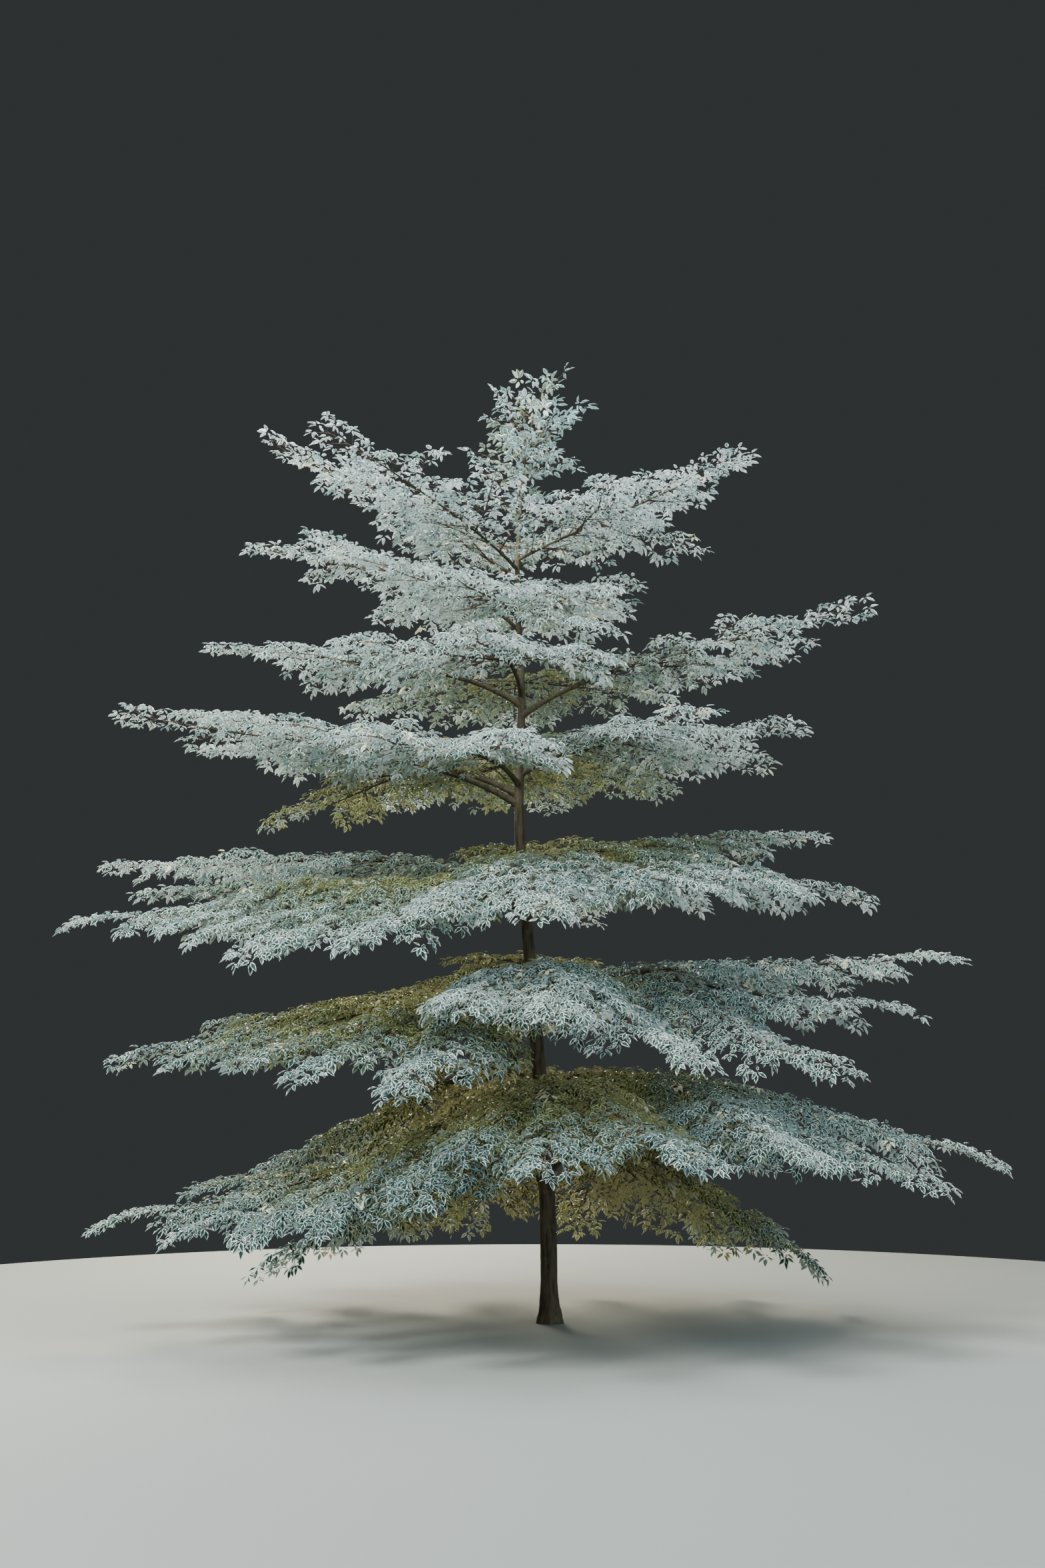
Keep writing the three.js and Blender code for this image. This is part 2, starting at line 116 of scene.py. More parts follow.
@dataclass(frozen=True)
class Bough:
    """One bough of a tier, in millimetres and degrees, as in the part's own table.

    A bare share of 0 is a bough whose foliage sits on the trunk itself. A lobe is a side limb's tip, as
    (azimuth, reach, height). Rise is the share of its tier's shoulder that the bough has, and the last field
    is how much deeper and warmer its painted shade is than its tier's.
    """

    side: str
    azimuth: float
    reach: float
    tip_height: float
    bare: float
    lobes: tuple[Lobe, ...] = ()
    rise: float = 1.0
    warm_shade: float = 0.0


@dataclass(frozen=True)
class Tier:
    """One tier: its height on the trunk, how far its boughs rise to a shoulder, and its boughs.

    Droop is by how many degrees its side branchlets hang, openness is how much further apart than the densest
    its sprays stand, shade is how deep its painted shade grows by the trunk, the share after it is how many
    of its sky-lit sprays are painted bright-lit, and leafed is the share of its bare boughs that leaves
    cover.
    """

    height: float
    shoulder: float
    droop: float
    openness: float
    shade: float
    frost: float
    leafed: float
    boughs: tuple[Bough, ...]


# Shade, the bright-lit share and each bough's added warm shade are painted light and shade on the sprays, not
# the leaves' own colour.
TIERS = (
    Tier(6060, 60, 5, 1.3, 0.42, 0.74, 0.0, (
        Bough("left", 181, 2310, 7270, 0),
        Bough("front_left", 230, 2300, 6540, 0, ((203, 1700, 6620), (256, 1700, 6300))),
        Bough("front_right", 335, 2150, 6680, 0, ((357, 1980, 6930), (306, 1780, 6240), (338, 1750, 6160))),
        Bough("back", 80, 1800, 6900, 0, ((120, 1800, 6850), (40, 1650, 6800))),
    )),
    Tier(5600, 90, 7, 1.25, 0.44, 0.88, 0.0, (
        Bough("left", 177, 2400, 6230, 0, ((160, 2200, 6560),), 4.0),
        Bough("front", 252, 2000, 5300, 0, ((226, 2000, 5620), (286, 1500, 5080))),
        Bough("right", 345, 1100, 5760, 0, ((303, 1500, 5370), (28, 1150, 5830))),
        Bough("back", 98, 1950, 6020, 0, ((66, 1850, 6050), (130, 2050, 6050))),
    )),
    Tier(4870, 260, 9, 1.15, 0.56, 0.84, 0.5, (
        Bough("right", 355, 2910, 5590, 0.3, ((12, 2500, 5420),)),
        Bough("left", 184, 2580, 5240, 0.3, ((202, 2250, 5020),)),
        Bough("front", 258, 2300, 4760, 0.26, ((238, 2400, 4740), (284, 1900, 4700))),
        Bough("back", 92, 2400, 5180, 0, ((50, 2050, 5230), (132, 2350, 5170)), warm_shade=0.12),
    )),
    Tier(4200, 260, 9, 1.1, 0.64, 0.92, 0.5, (
        Bough("left", 189, 3250, 4620, 0.22, ((204, 2650, 4430),)),
        Bough("back_left", 157, 3120, 4720, 0.22, ((173, 2780, 4780),)),
        Bough("front_left", 243, 2650, 3960, 0.26, ((224, 2600, 4200), (266, 2600, 3900))),
        Bough("right", 352, 2370, 4540, 0.24, ((306, 2450, 4230), (20, 2370, 4480))),
        Bough("back", 84, 2500, 4420, 0, ((118, 2600, 4380), (54, 2350, 4450)), warm_shade=0.2),
        Bough("low_left", 147, 2700, 4060, 0, (), warm_shade=0.4),
    )),
    Tier(3330, 430, 14, 1.0, 0.88, 0.66, 0.8, (
        Bough("left", 191, 3660, 2870, 0.2, ((180, 3200, 3200), (206, 3000, 2780)), warm_shade=0.1),
        Bough("back_left", 162, 3910, 3650, 0.2, ((146, 3450, 3720),), warm_shade=-0.3),
        Bough("front_left", 232, 3120, 2430, 0.22, ((219, 3000, 2600), (246, 2950, 2480)), warm_shade=0.2),
        Bough("front", 271, 2980, 2640, 0.22, ((258, 2900, 2660), (298, 2650, 2880))),
        Bough("right", 352, 2800, 3120, 0.22, ((12, 2680, 3740), (325, 2600, 2980))),
        Bough("back", 76, 2700, 3320, 0, ((44, 2350, 3280), (112, 3000, 3400)), warm_shade=-0.1),
    )),
    Tier(2400, 560, 16, 1.0, 0.95, 0.24, 0.85, (
        Bough("left", 186, 3340, 1860, 0.2, ((202, 2950, 1800), (168, 2900, 2150)), warm_shade=0.2),
        Bough("front_left", 238, 2900, 1680, 0.24, ((222, 2850, 1740), (254, 3100, 1580)), warm_shade=0.36),
        Bough("front", 272, 3150, 2040, 0.24, ((260, 3000, 2080), (288, 2980, 1760)), warm_shade=-0.15),
        Bough("right", 355, 3400, 2700, 0.2, ((343, 3050, 2230), (318, 2950, 1750)), 0.35, -0.32),
        Bough("back", 90, 3000, 2280, 0, ((130, 3000, 2220), (48, 2850, 2300))),
    )),
    Tier(1480, 720, 16, 1.0, 1.15, 0.0, 0.85, (
        Bough("left", 191, 3410, 690, 0.2, ((209, 3050, 640), (174, 2900, 900)), 0.28, 0.02),
        Bough("front_left", 238, 2950, 720, 0.22, ((226, 2950, 650), (251, 2900, 900)), warm_shade=0.3),
        Bough("front", 270, 3280, 1120, 0.22, ((259, 2900, 1170), (284, 3250, 1170)), warm_shade=0.34),
        Bough("right", 353, 3530, 1110, 0.2, ((330, 3250, 950), (306, 3150, 1130)), warm_shade=-0.2),
        Bough("back_right", 46, 3000, 980, 0, ((24, 2950, 1050), (72, 2850, 950))),
        Bough("back_left", 128, 3000, 920, 0, ((104, 2850, 950), (150, 2950, 880))),
    )),
    Tier(1020, 800, 14, 1.05, 1.0, 0.0, 0.0, (
        Bough("back_left", 168, 2520, 140, 0, ((142, 2400, 240), (112, 2150, 330)), warm_shade=0.05),
        Bough("back_right", 18, 2520, 115, 0, ((46, 2500, 210), (76, 2200, 320)), warm_shade=0.2),
    )),
)


class Line:
    """A middle line as closely spaced points, read by a share of its length."""

    NEAR = 0.02

    def __init__(self, points: Iterable[Point]) -> None:
        """Measures the line.

        Args:
            points: The points that it runs through, in order.
        """
        self.points = np.array(list(points), float)
        steps = np.linalg.norm(np.diff(self.points, axis=0), axis=1)
        self.reached = np.concatenate([[0.0], np.cumsum(steps)])
        self.length = float(self.reached[-1])

    @classmethod
    def bent(cls, start: np.ndarray, control: np.ndarray, end: np.ndarray, count: int) -> "Line":
        """Returns a line of that many points that runs from start to end and bends towards control."""
        shares = np.linspace(0, 1, count)
        return cls(start * (1 - t) ** 2 + control * 2 * t * (1 - t) + end * t * t for t in shares)

    def at(self, share: float) -> np.ndarray:
        """Returns the point at a share of the length."""
        along = min(max(share, 0.0), 1.0) * self.length
        return np.array([np.interp(along, self.reached, self.points[:, axis]) for axis in range(3)])

    def way(self, share: float) -> np.ndarray:
        """Returns the direction in which the line runs at a share of its length."""
        ahead = self.at(share + self.NEAR) - self.at(share - self.NEAR)
        return ahead / np.linalg.norm(ahead)

    def heading(self, share: float) -> float:
        """Returns the line's heading seen from above, in radians."""
        way = self.way(share)
        return math.atan2(way[1], way[0])

    def slope(self, share: float) -> float:
        """Returns how steeply the line rises, in radians."""
        way = self.way(share)
        return math.atan2(way[2], math.hypot(way[0], way[1]))


@dataclass(frozen=True)
class TrunkShape:
    """The trunk's bent line and its taper, as in the part's solids. Heights and radii are in metres."""

    knots: tuple[Span, ...] = (
        (0.0, 0.0), (1.0, -0.02), (1.9, -0.08), (3.0, -0.17),
        (3.9, -0.235), (4.9, -0.215), (6.05, -0.25), (6.75, -0.21),
    )
    foot_radius: float = 0.066
    tip_radius: float = 0.013
    taper_power: float = 1.25
    flare_radius: float = 0.040
    flare_height: float = 0.38

    @property
    def height(self) -> float:
        """The height of the trunk's tip."""
        return self.knots[-1][0]

    def centre(self, height: float) -> np.ndarray:
        """Finds the middle of the trunk.

        Args:
            height: The height above the ground.

        Returns:
            The point on the trunk's middle line.
        """
        last = len(self.knots) - 1
        upper = next((i for i, (level, _) in enumerate(self.knots) if level >= height and i > 0), last)

        def slope(i: int) -> float:
            """Returns the line's sideways slope at knot i."""
            (low, low_shift), (high, high_shift) = self.knots[max(0, i - 1)], self.knots[min(last, i + 1)]
            return (high_shift - low_shift) / (high - low)

        (low, low_shift), (high, high_shift) = self.knots[upper - 1], self.knots[upper]
        span = high - low
        t = (height - low) / span
        shift = (
            low_shift * (1 + 2 * t) * (1 - t) ** 2
            + high_shift * t * t * (3 - 2 * t)
            + slope(upper - 1) * span * t * (1 - t) ** 2
            - slope(upper) * span * t * t * (1 - t)
        )
        return np.array([shift, 0.0, height])

    def radius(self, height: float) -> float:
        """Finds the trunk's radius, root flare included.

        Args:
            height: The height above the ground.

        Returns:
            The radius.
        """
        share = height / self.height
        taper = self.tip_radius + (self.foot_radius - self.tip_radius) * (1 - share**self.taper_power)
        return taper + self.flare_radius * max(0.0, 1 - height / self.flare_height) ** 3


TRUNK = TrunkShape()


@dataclass(frozen=True)
class BoughShape:
    """A bough's line from the trunk's middle to its furthest tip, as in the part's solids."""

    foot: np.ndarray
    azimuth: float
    reach: float
    tip_height: float
    shoulder: float
    sway: float = 5.0
    shoulder_power: float = 6.0

    def point(self, share: float) -> np.ndarray:
        """Finds a point of the bough's middle line.

        Args:
            share: The share of the reach at which it is.

        Returns:
            The point.
        """
        left = max(0.0, 1 - share)
        turn = math.radians(self.azimuth + self.sway * left**2)
        rise = self.shoulder * (left - left**self.shoulder_power)
        drop = (self.tip_height - self.foot[2]) * share
        out = self.reach * share
        return self.foot + np.array([out * math.cos(turn), out * math.sin(turn), drop + rise])


@dataclass
class WoodPath:
    """A run of wood: its points, and at each of them its radius and how deep its bark's relief is."""

    points: np.ndarray
    radii: np.ndarray
    relief: np.ndarray

    @classmethod
    def tapered(cls, points: Iterable[Point], thick: float, thin: float) -> "WoodPath":
        """Returns a smooth run through those points, whose radius goes evenly from thick to thin."""
        line = np.array(list(points), float)
        return cls(line, np.linspace(thick, thin, len(line)), np.zeros(len(line)))


@dataclass
class Limb:
    """A limb that carries branchlets: its line, its radius by share, where it starts and how full it is.

    Step is the distance between two points of its wood, and relief is how deep its bark's relief is.
    """

    line: Line
    radius: Callable[[float], float]
    is_stem: bool = False
    on_trunk: bool = False
    has_tip: bool = True
    fullness: float = 1.0
    step: float = 0.07
    relief: float = 0.0016
    relief_share: float = 0.08

    def wood(self) -> WoodPath:
        """Makes the limb's run of wood.

        Returns:
            The run, with its relief held to a share of its radius.
        """
        shares = np.linspace(0, 1, max(4, round(self.line.length / self.step)) + 1)
        radii = np.array([self.radius(share) for share in shares])
        depth = np.minimum(self.relief, radii * self.relief_share)
        depth[[0, -1]] = 0.0
        return WoodPath(np.array([self.line.at(share) for share in shares]), radii, depth)


class Site(NamedTuple):
    """Where one spray of leaves sits, its roll, tilt and heading, its size, its arrangement and its painted
    light and shade.
    """

    place: Point
    turn: Point
    size: float
    kind: int
    tint: int


@dataclass(frozen=True)
class FoliageSizes:
    """The sizes of the foliage, in metres and degrees. The first ones are those of the part's solids."""

    branchlet_length: float = 0.73
    branchlet_angle: float = 50.0
    tilt_wobble: float = 8.0
    roll_wobble: float = 14.0
    tip_narrowing: float = 0.42
    bare_by_trunk: float = 0.04
    twig_angle: float = 55.0
    twig_length: float = 0.25
    twig_share: float = 0.85
    ground_clearance: float = 0.04
    spacing: float = 0.26
    first_place: float = 0.6
    last_gap: float = 0.2
    furthest: float = 0.95
    stagger: float = 0.2
    place_wobble: float = 0.12
    tip_inset: float = 0.04
    heading_wobble: float = 7.0
    twig_radii: Span = (0.009, 0.006)
    twig_branchlets: Span = (0.8, 0.5)
    twig_tip_turn: float = 4.0
    spray_gap: float = 0.062
    spray_kinds: int = 10
    spray_roll: float = 18.0
    spray_tilt: float = 14.0
    spray_hang: float = 0.7
    leaf_length: float = 0.068
    leaf_width: float = 0.44
    leaf_spread: Span = (0.88, 1.12)


@dataclass(frozen=True)
class BranchletShape:
    """How a branchlet's stem bends, and where its twiglets and their sprays stand.

    In metres and shares, with the twiglets' angle in degrees. Each twiglet at the side has a shorter one half
    way, and the roof is a row of short ones on top of the stem, turned by chance, in radians.
    """

    length_wobble: float = 0.06
    arch: Span = (0.02, 0.05)
    bend: float = 0.05
    joints: tuple[float, ...] = (0.0, 0.35, 0.7, 1.0)
    radius: float = 0.005
    least_radius: float = 0.001
    tip_at: float = 0.99
    tip_lift: float = 0.004
    tip_size: float = 1.05
    twiglet_step: float = 0.09
    twiglet_angle: float = 50.0
    twiglet_radius: float = 0.0026
    twiglet_first: float = 0.55
    twiglet_stagger: float = 0.22
    twiglet_wobble: float = 0.14
    half_width: float = 0.17
    narrowest: float = 0.3
    width_spread: Span = (0.82, 1.12)
    widest: float = 0.5
    leaving: float = 0.8
    lift: Span = (0.004, 0.03)
    half_way: Span = (0.42, 0.6)
    half_way_lift: float = 0.012
    roof_lift: float = 0.022
    roof_turn: float = 1.2
    roof_size: float = 0.95


@dataclass(frozen=True)
class SpurShape:
    """How a limb's short spurs stand, in metres and radians: every third on top and the rest beside it."""

    step: float = 0.055
    turn: Span = (0.9, 1.6)
    top_out: Span = (0.0, 0.03)
    side_out: Span = (0.02, 0.08)
    top_lift: Span = (0.025, 0.045)
    side_lift: Span = (0.0, 0.035)
    size: float = 0.97


@dataclass(frozen=True)
class PaintedLightRule:
    """How a spray's depth, about 0 at a mass's rim and 1 by the trunk, and a chance choose its painted light
    and shade.
    """

    trunk_depth: float = 1.02
    back_depth: float = 0.3
    wobble: float = 0.13
    sunlit_share: float = 0.014
    sky_lit_to: float = 0.36
    half_shaded_to: float = 0.56
    shaded_to: float = 0.76
    rim_to: float = 0.24
    rim_bright_lit: float = 0.85
    rim_gain: float = 0.8


SIZES = FoliageSizes()
BRANCHLET = BranchletShape()
SPUR = SpurShape()
PAINTED_LIGHTING = PaintedLightRule()


class Crowd:
    """Keeps the places of a tier's sprays, so that none grows into another."""

    def __init__(self, gap: float) -> None:
        """Starts with no sprays, and the least distance between two of them."""
        self.gap = gap
        self.cells: dict[tuple[int, int, int], list[Point]] = {}

    def takes(self, place: Point) -> bool:
        """Keeps a spray's place if it is clear of the rest.

        Args:
            place: Where the spray is.

        Returns:
            Whether it had room.
        """
        x, y, z = (math.floor(value / self.gap) for value in place)
        for cell in itertools.product((x - 1, x, x + 1), (y - 1, y, y + 1), (z - 1, z, z + 1)):
            if any(math.dist(place, other) < self.gap for other in self.cells.get(cell, ())):
                return False
        self.cells.setdefault((x, y, z), []).append(place)
        return True


@dataclass
class Mass:
    """One mass of foliage while it grows: its wood, its sprays, and how painted light and shade are dealt out
    to them.
    """

    draw: Seeded
    crowd: Crowd
    axis: np.ndarray
    reach: float
    droop: float
    # shade sets the painted shade by the trunk, the next field the share of sky-lit sprays painted
    # bright-lit, and the next the bough's extra warm painted shade.
    shade: float
    frost: float
    warm_shade: float = 0.0
    leaf_size: float = 1.0
    twigs: list[WoodPath] = field(default_factory=list)
    sites: list[Site] = field(default_factory=list)

    def painted_light_at(self, place: np.ndarray) -> PaintedLight:
        """Deals out painted light and shade by how near to the trunk and how far back a spray is, with some
        chance in it.

        Args:
            place: Where the spray is.

        Returns:
            Its painted light and shade.
        """
        across, back = (place[:2] - self.axis[:2]) / self.reach
        # Painted shade: deeper towards the trunk and towards the back, away from the lit front.
        inward = PAINTED_LIGHTING.trunk_depth - math.hypot(across, back) + PAINTED_LIGHTING.back_depth * back
        depth = inward * self.shade + self.warm_shade + self.draw.wobble(PAINTED_LIGHTING.wobble)
        chance = self.draw.draw()
        # A small share of sprays is painted sunlit.
        if chance < PAINTED_LIGHTING.sunlit_share:
            return PaintedLight.CREAM
        # Outer sprays are painted lit; near the rim more of them are painted bright-lit.
        if depth < PAINTED_LIGHTING.sky_lit_to:
            rim = max(0.0, PAINTED_LIGHTING.rim_to - depth) / PAINTED_LIGHTING.rim_to
            bright_lit_odds = self.frost + (PAINTED_LIGHTING.rim_bright_lit - self.frost) * PAINTED_LIGHTING.rim_gain * rim
            return PaintedLight.FROST if chance < bright_lit_odds else PaintedLight.SILVER
        # Deeper in: painted half shade, then shade, then warm golden shade by the trunk.
        if depth < PAINTED_LIGHTING.half_shaded_to:
            return PaintedLight.SAGE
        return PaintedLight.OLIVE if depth < PAINTED_LIGHTING.shaded_to else PaintedLight.GOLD

    def add_spray(self, place: np.ndarray, heading: float, tilt: float, size: float = 1.0) -> bool:
        """Adds a spray of leaves, unless it would crowd another or hang too near the ground.

        Args:
            place: Where its leaves meet.
            heading: Which way it points, in radians.
            tilt: How far it hangs below the level, in radians.
            size: Its size, as a share of a full spray's.

        Returns:
            Whether it was added.
        """
        lowest = SIZES.ground_clearance + SIZES.leaf_length * SIZES.spray_hang
        if place[2] < lowest or not self.crowd.takes(tuple(place)):
            return False
        roll = math.radians(self.draw.wobble(SIZES.spray_roll))
        turn = (roll, tilt + math.radians(self.draw.wobble(SIZES.spray_tilt)), heading)
        kind = int(self.draw.draw() * SIZES.spray_kinds)
        full = self.leaf_size * self.draw.between(*SIZES.leaf_spread)
        self.sites.append(Site(tuple(place), turn, size * full, kind, self.painted_light_at(place).value))
        return True

    def add_twiglet(self, root: np.ndarray, end: np.ndarray, heading: float, tilt: float,
                    size: float = 1.0) -> None:
        """Adds a straight twiglet from root to end, with a spray of that turn and size, if it has room."""
        if self.add_spray(end, heading, tilt, size):
            self.twigs.append(WoodPath.tapered([root, end], BRANCHLET.twiglet_radius, 0.0))

    def add_branchlet(self, line: Line, share: float, turn: float, size: float = 1.0) -> None:
        """Grows a branchlet from a line, to one side of it or on from its tip.

        Args:
            line: The line that carries it.
            share: Where on the line it starts.
            turn: Its angle to the line in degrees, 0 for one that goes on from the tip.
            size: Its length, as a share of a full branchlet's.
        """
        heading = line.heading(share) + math.radians(turn + self.draw.wobble(SIZES.heading_wobble))
        hang = 0.0 if turn == 0 else self.droop + self.draw.wobble(SIZES.tilt_wobble)
        tilt = math.radians(hang) - line.slope(share) * math.cos(math.radians(turn))
        self.grow_branchlet(line.at(share), heading, tilt, size)

    def grow_branchlet(self, root: np.ndarray, heading: float, tilt: float, size: float) -> None:
        """Grows a branchlet: a twig with twiglets on both sides, each ending in a spray of leaves.

        Args:
            root: Where it starts, in the middle of what carries it.
            heading: Which way it points, in radians.
            tilt: How far it hangs below the level, in radians.
            size: Its length, as a share of a full branchlet's.
        """
        draw, shape = self.draw, BRANCHLET
        length = SIZES.branchlet_length * size * (1 + draw.wobble(shape.length_wobble)) - SIZES.leaf_length
        turned = Euler((math.radians(draw.wobble(SIZES.roll_wobble)), tilt, heading), "XYZ").to_matrix()
        arch, bend = draw.between(*shape.arch) * size, draw.wobble(shape.bend) * size

        def place(share: float, side: float, up: float = 0.0) -> np.ndarray:
            """Returns the point at a share of the length, so far to the side and so far above."""
            curve = 4 * share * (1 - share)
            return root + np.array(turned @ Vector((share * length, side + bend * curve, up + arch * curve)))

        thick = shape.radius * size + shape.least_radius
        self.twigs.append(WoodPath.tapered([place(share, 0) for share in shape.joints], thick, 0.0))
        self.add_spray(place(shape.tip_at, 0, shape.tip_lift), heading, tilt, shape.tip_size)
        angle = math.radians(shape.twiglet_angle)
        count = max(2, round(length / shape.twiglet_step))
        for k in range(count):
            for side in (1, -1):
                stagger = side * shape.twiglet_stagger
                at = (k + shape.twiglet_first + stagger + draw.wobble(shape.twiglet_wobble)) / count
                narrow = at / shape.widest if at < shape.widest else math.sqrt((1 - at) / (1 - shape.widest))
                part = shape.narrowest + (1 - shape.narrowest) * narrow
                width = shape.half_width * size * part * draw.between(*shape.width_spread)
                ahead = width / math.tan(angle) / length
                if at + ahead > 1.0:
                    continue
                lift = draw.between(*shape.lift)
                leave = heading + side * angle * shape.leaving
                self.add_twiglet(place(at, 0), place(at + ahead, side * width, lift), leave, tilt)
                half = draw.between(*shape.half_way)
                inner = place(at + ahead * half, side * width * half, lift + shape.half_way_lift)
                self.add_twiglet(place(at, 0), inner, leave, tilt)
            at = (k + draw.draw()) / count
            turn = heading + draw.wobble(shape.roof_turn)
            self.add_twiglet(place(at, 0), place(at, 0.0, shape.roof_lift), turn, tilt, shape.roof_size)

    def dress(self, limb: Limb) -> None:
        """Grows branchlets on both sides of a limb and on from its tip, by the source's rule but closer.

        Args:
            limb: The limb. A stem carries every other branchlet on a twig, with a second one half way.
        """
        line, draw = limb.line, self.draw
        first = SIZES.bare_by_trunk if limb.on_trunk else 0.0
        count = max(2, round(line.length * (1 - first) / SIZES.spacing))
        self.add_spurs(limb, first)
        if limb.has_tip:
            self.add_branchlet(line, 1 - SIZES.tip_inset / line.length, 0)
        for i in reversed(range(count)):
            for side in (1, -1):
                along = i + SIZES.first_place + side * SIZES.stagger + draw.wobble(SIZES.place_wobble)
                place = min(SIZES.furthest, along / (count + SIZES.last_gap))
                share = first + (1 - first) * place
                size = limb.fullness * (1 - SIZES.tip_narrowing * place**2 * limb.has_tip)
                if not (limb.is_stem and i % 4 == 1 - side and i < count - 1):
                    self.add_branchlet(line, share, side * SIZES.branchlet_angle, size)
                    continue
                twig = self.twig_line(line, share, side)
                self.twigs.append(WoodPath.tapered(twig.points, *SIZES.twig_radii))
                tip, middle = SIZES.twig_branchlets
                self.add_branchlet(twig, tip, side * SIZES.twig_tip_turn, size * SIZES.twig_share)
                self.add_branchlet(twig, middle, -side * SIZES.branchlet_angle, size * SIZES.twig_share)

    @staticmethod
    def twig_line(line: Line, share: float, side: int) -> Line:
        """Lays out a twig to one side of a limb, with the limb's own slope.

        Args:
            line: The limb's line.
            share: Where on it the twig starts.
            side: 1 for the left and -1 for the right, seen along the limb.

        Returns:
            The twig's line.
        """
        start = line.at(share)
        leave = line.heading(share) + side * math.radians(SIZES.twig_angle)
        rise = line.way(share)[2] * math.cos(math.radians(SIZES.twig_angle))
        way = np.array([math.cos(leave), math.sin(leave), rise])
        return Line([start, start + way * SIZES.twig_length * 0.5, start + way * SIZES.twig_length])

    def add_spurs(self, limb: Limb, first: float) -> None:
        """Adds short spurs with a spray each, close above and beside the limb, so that it is roofed over.

        Args:
            limb: The limb that they stand on.
            first: The share of the limb, from its root, that stays bare.
        """
        line, draw = limb.line, self.draw
        count = round(line.length * (1 - first) / SPUR.step)
        for k in range(count):
            share = first + (1 - first) * (k + draw.draw()) / count
            root, thick = line.at(share), limb.radius(share)
            heading = line.heading(share) + draw.between(*SPUR.turn) * (1 if k % 2 else -1)
            if k % 3 == 0:
                out, lift = draw.between(*SPUR.top_out), thick + draw.between(*SPUR.top_lift)
            else:
                out, lift = thick + draw.between(*SPUR.side_out), draw.between(*SPUR.side_lift)
            tip = root + np.array([math.cos(heading) * out, math.sin(heading) * out, lift])
            self.add_twiglet(root, tip, heading, -line.slope(share), SPUR.size)


class NodeBench:
    """Adds nodes to a tree, sets their sockets and links them."""

    def __init__(self, tree: bpy.types.NodeTree) -> None:
        """Keeps the tree to work on."""
        self.tree = tree

    def add(self, kind: str, inputs: Inputs | None = None, **settings: Any) -> bpy.types.Node:
        """Adds a node.

        Args:
            kind: The node's type name.
            inputs: For each input, by name or number, the socket to link to it or the value to set.
            settings: The node's own settings.

        Returns:
            The new node.
        """
        node = self.tree.nodes.new(kind)
        for name, value in settings.items():
            setattr(node, name, value)
        for key, value in (inputs or {}).items():
            if isinstance(value, Socket):
                self.tree.links.new(value, node.inputs[key])
            else:
                node.inputs[key].default_value = value
        return node

    def out(self, kind: str, inputs: Inputs | None = None, **settings: Any) -> Socket:
        """Adds a node as add does, and returns its first output."""
        return self.add(kind, inputs, **settings).outputs[0]

    def vector(self, operation: str, one: Socket, other: Socket | None = None) -> Socket:
        """Adds a vector operation on one or two vectors, and returns its result."""
        inputs = {0: one} if other is None else {0: one, 1: other}
        return self.out("ShaderNodeVectorMath", inputs, operation=operation)

    def attribute(self, name: str, kind: str = "FLOAT") -> Socket:
        """Returns the output that reads a named attribute of that kind."""
        node = self.add("GeometryNodeInputNamedAttribute", {"Name": name}, data_type=kind)
        return node.outputs["Attribute"]

    def declare(self, sockets: dict[str, str], in_out: str) -> dict[str, str]:
        """Gives the tree named sockets of those types, and returns the identifier of each."""
        new = self.tree.interface.new_socket
        return {name: new(name, in_out=in_out, socket_type=kind).identifier for name, kind in sockets.items()}


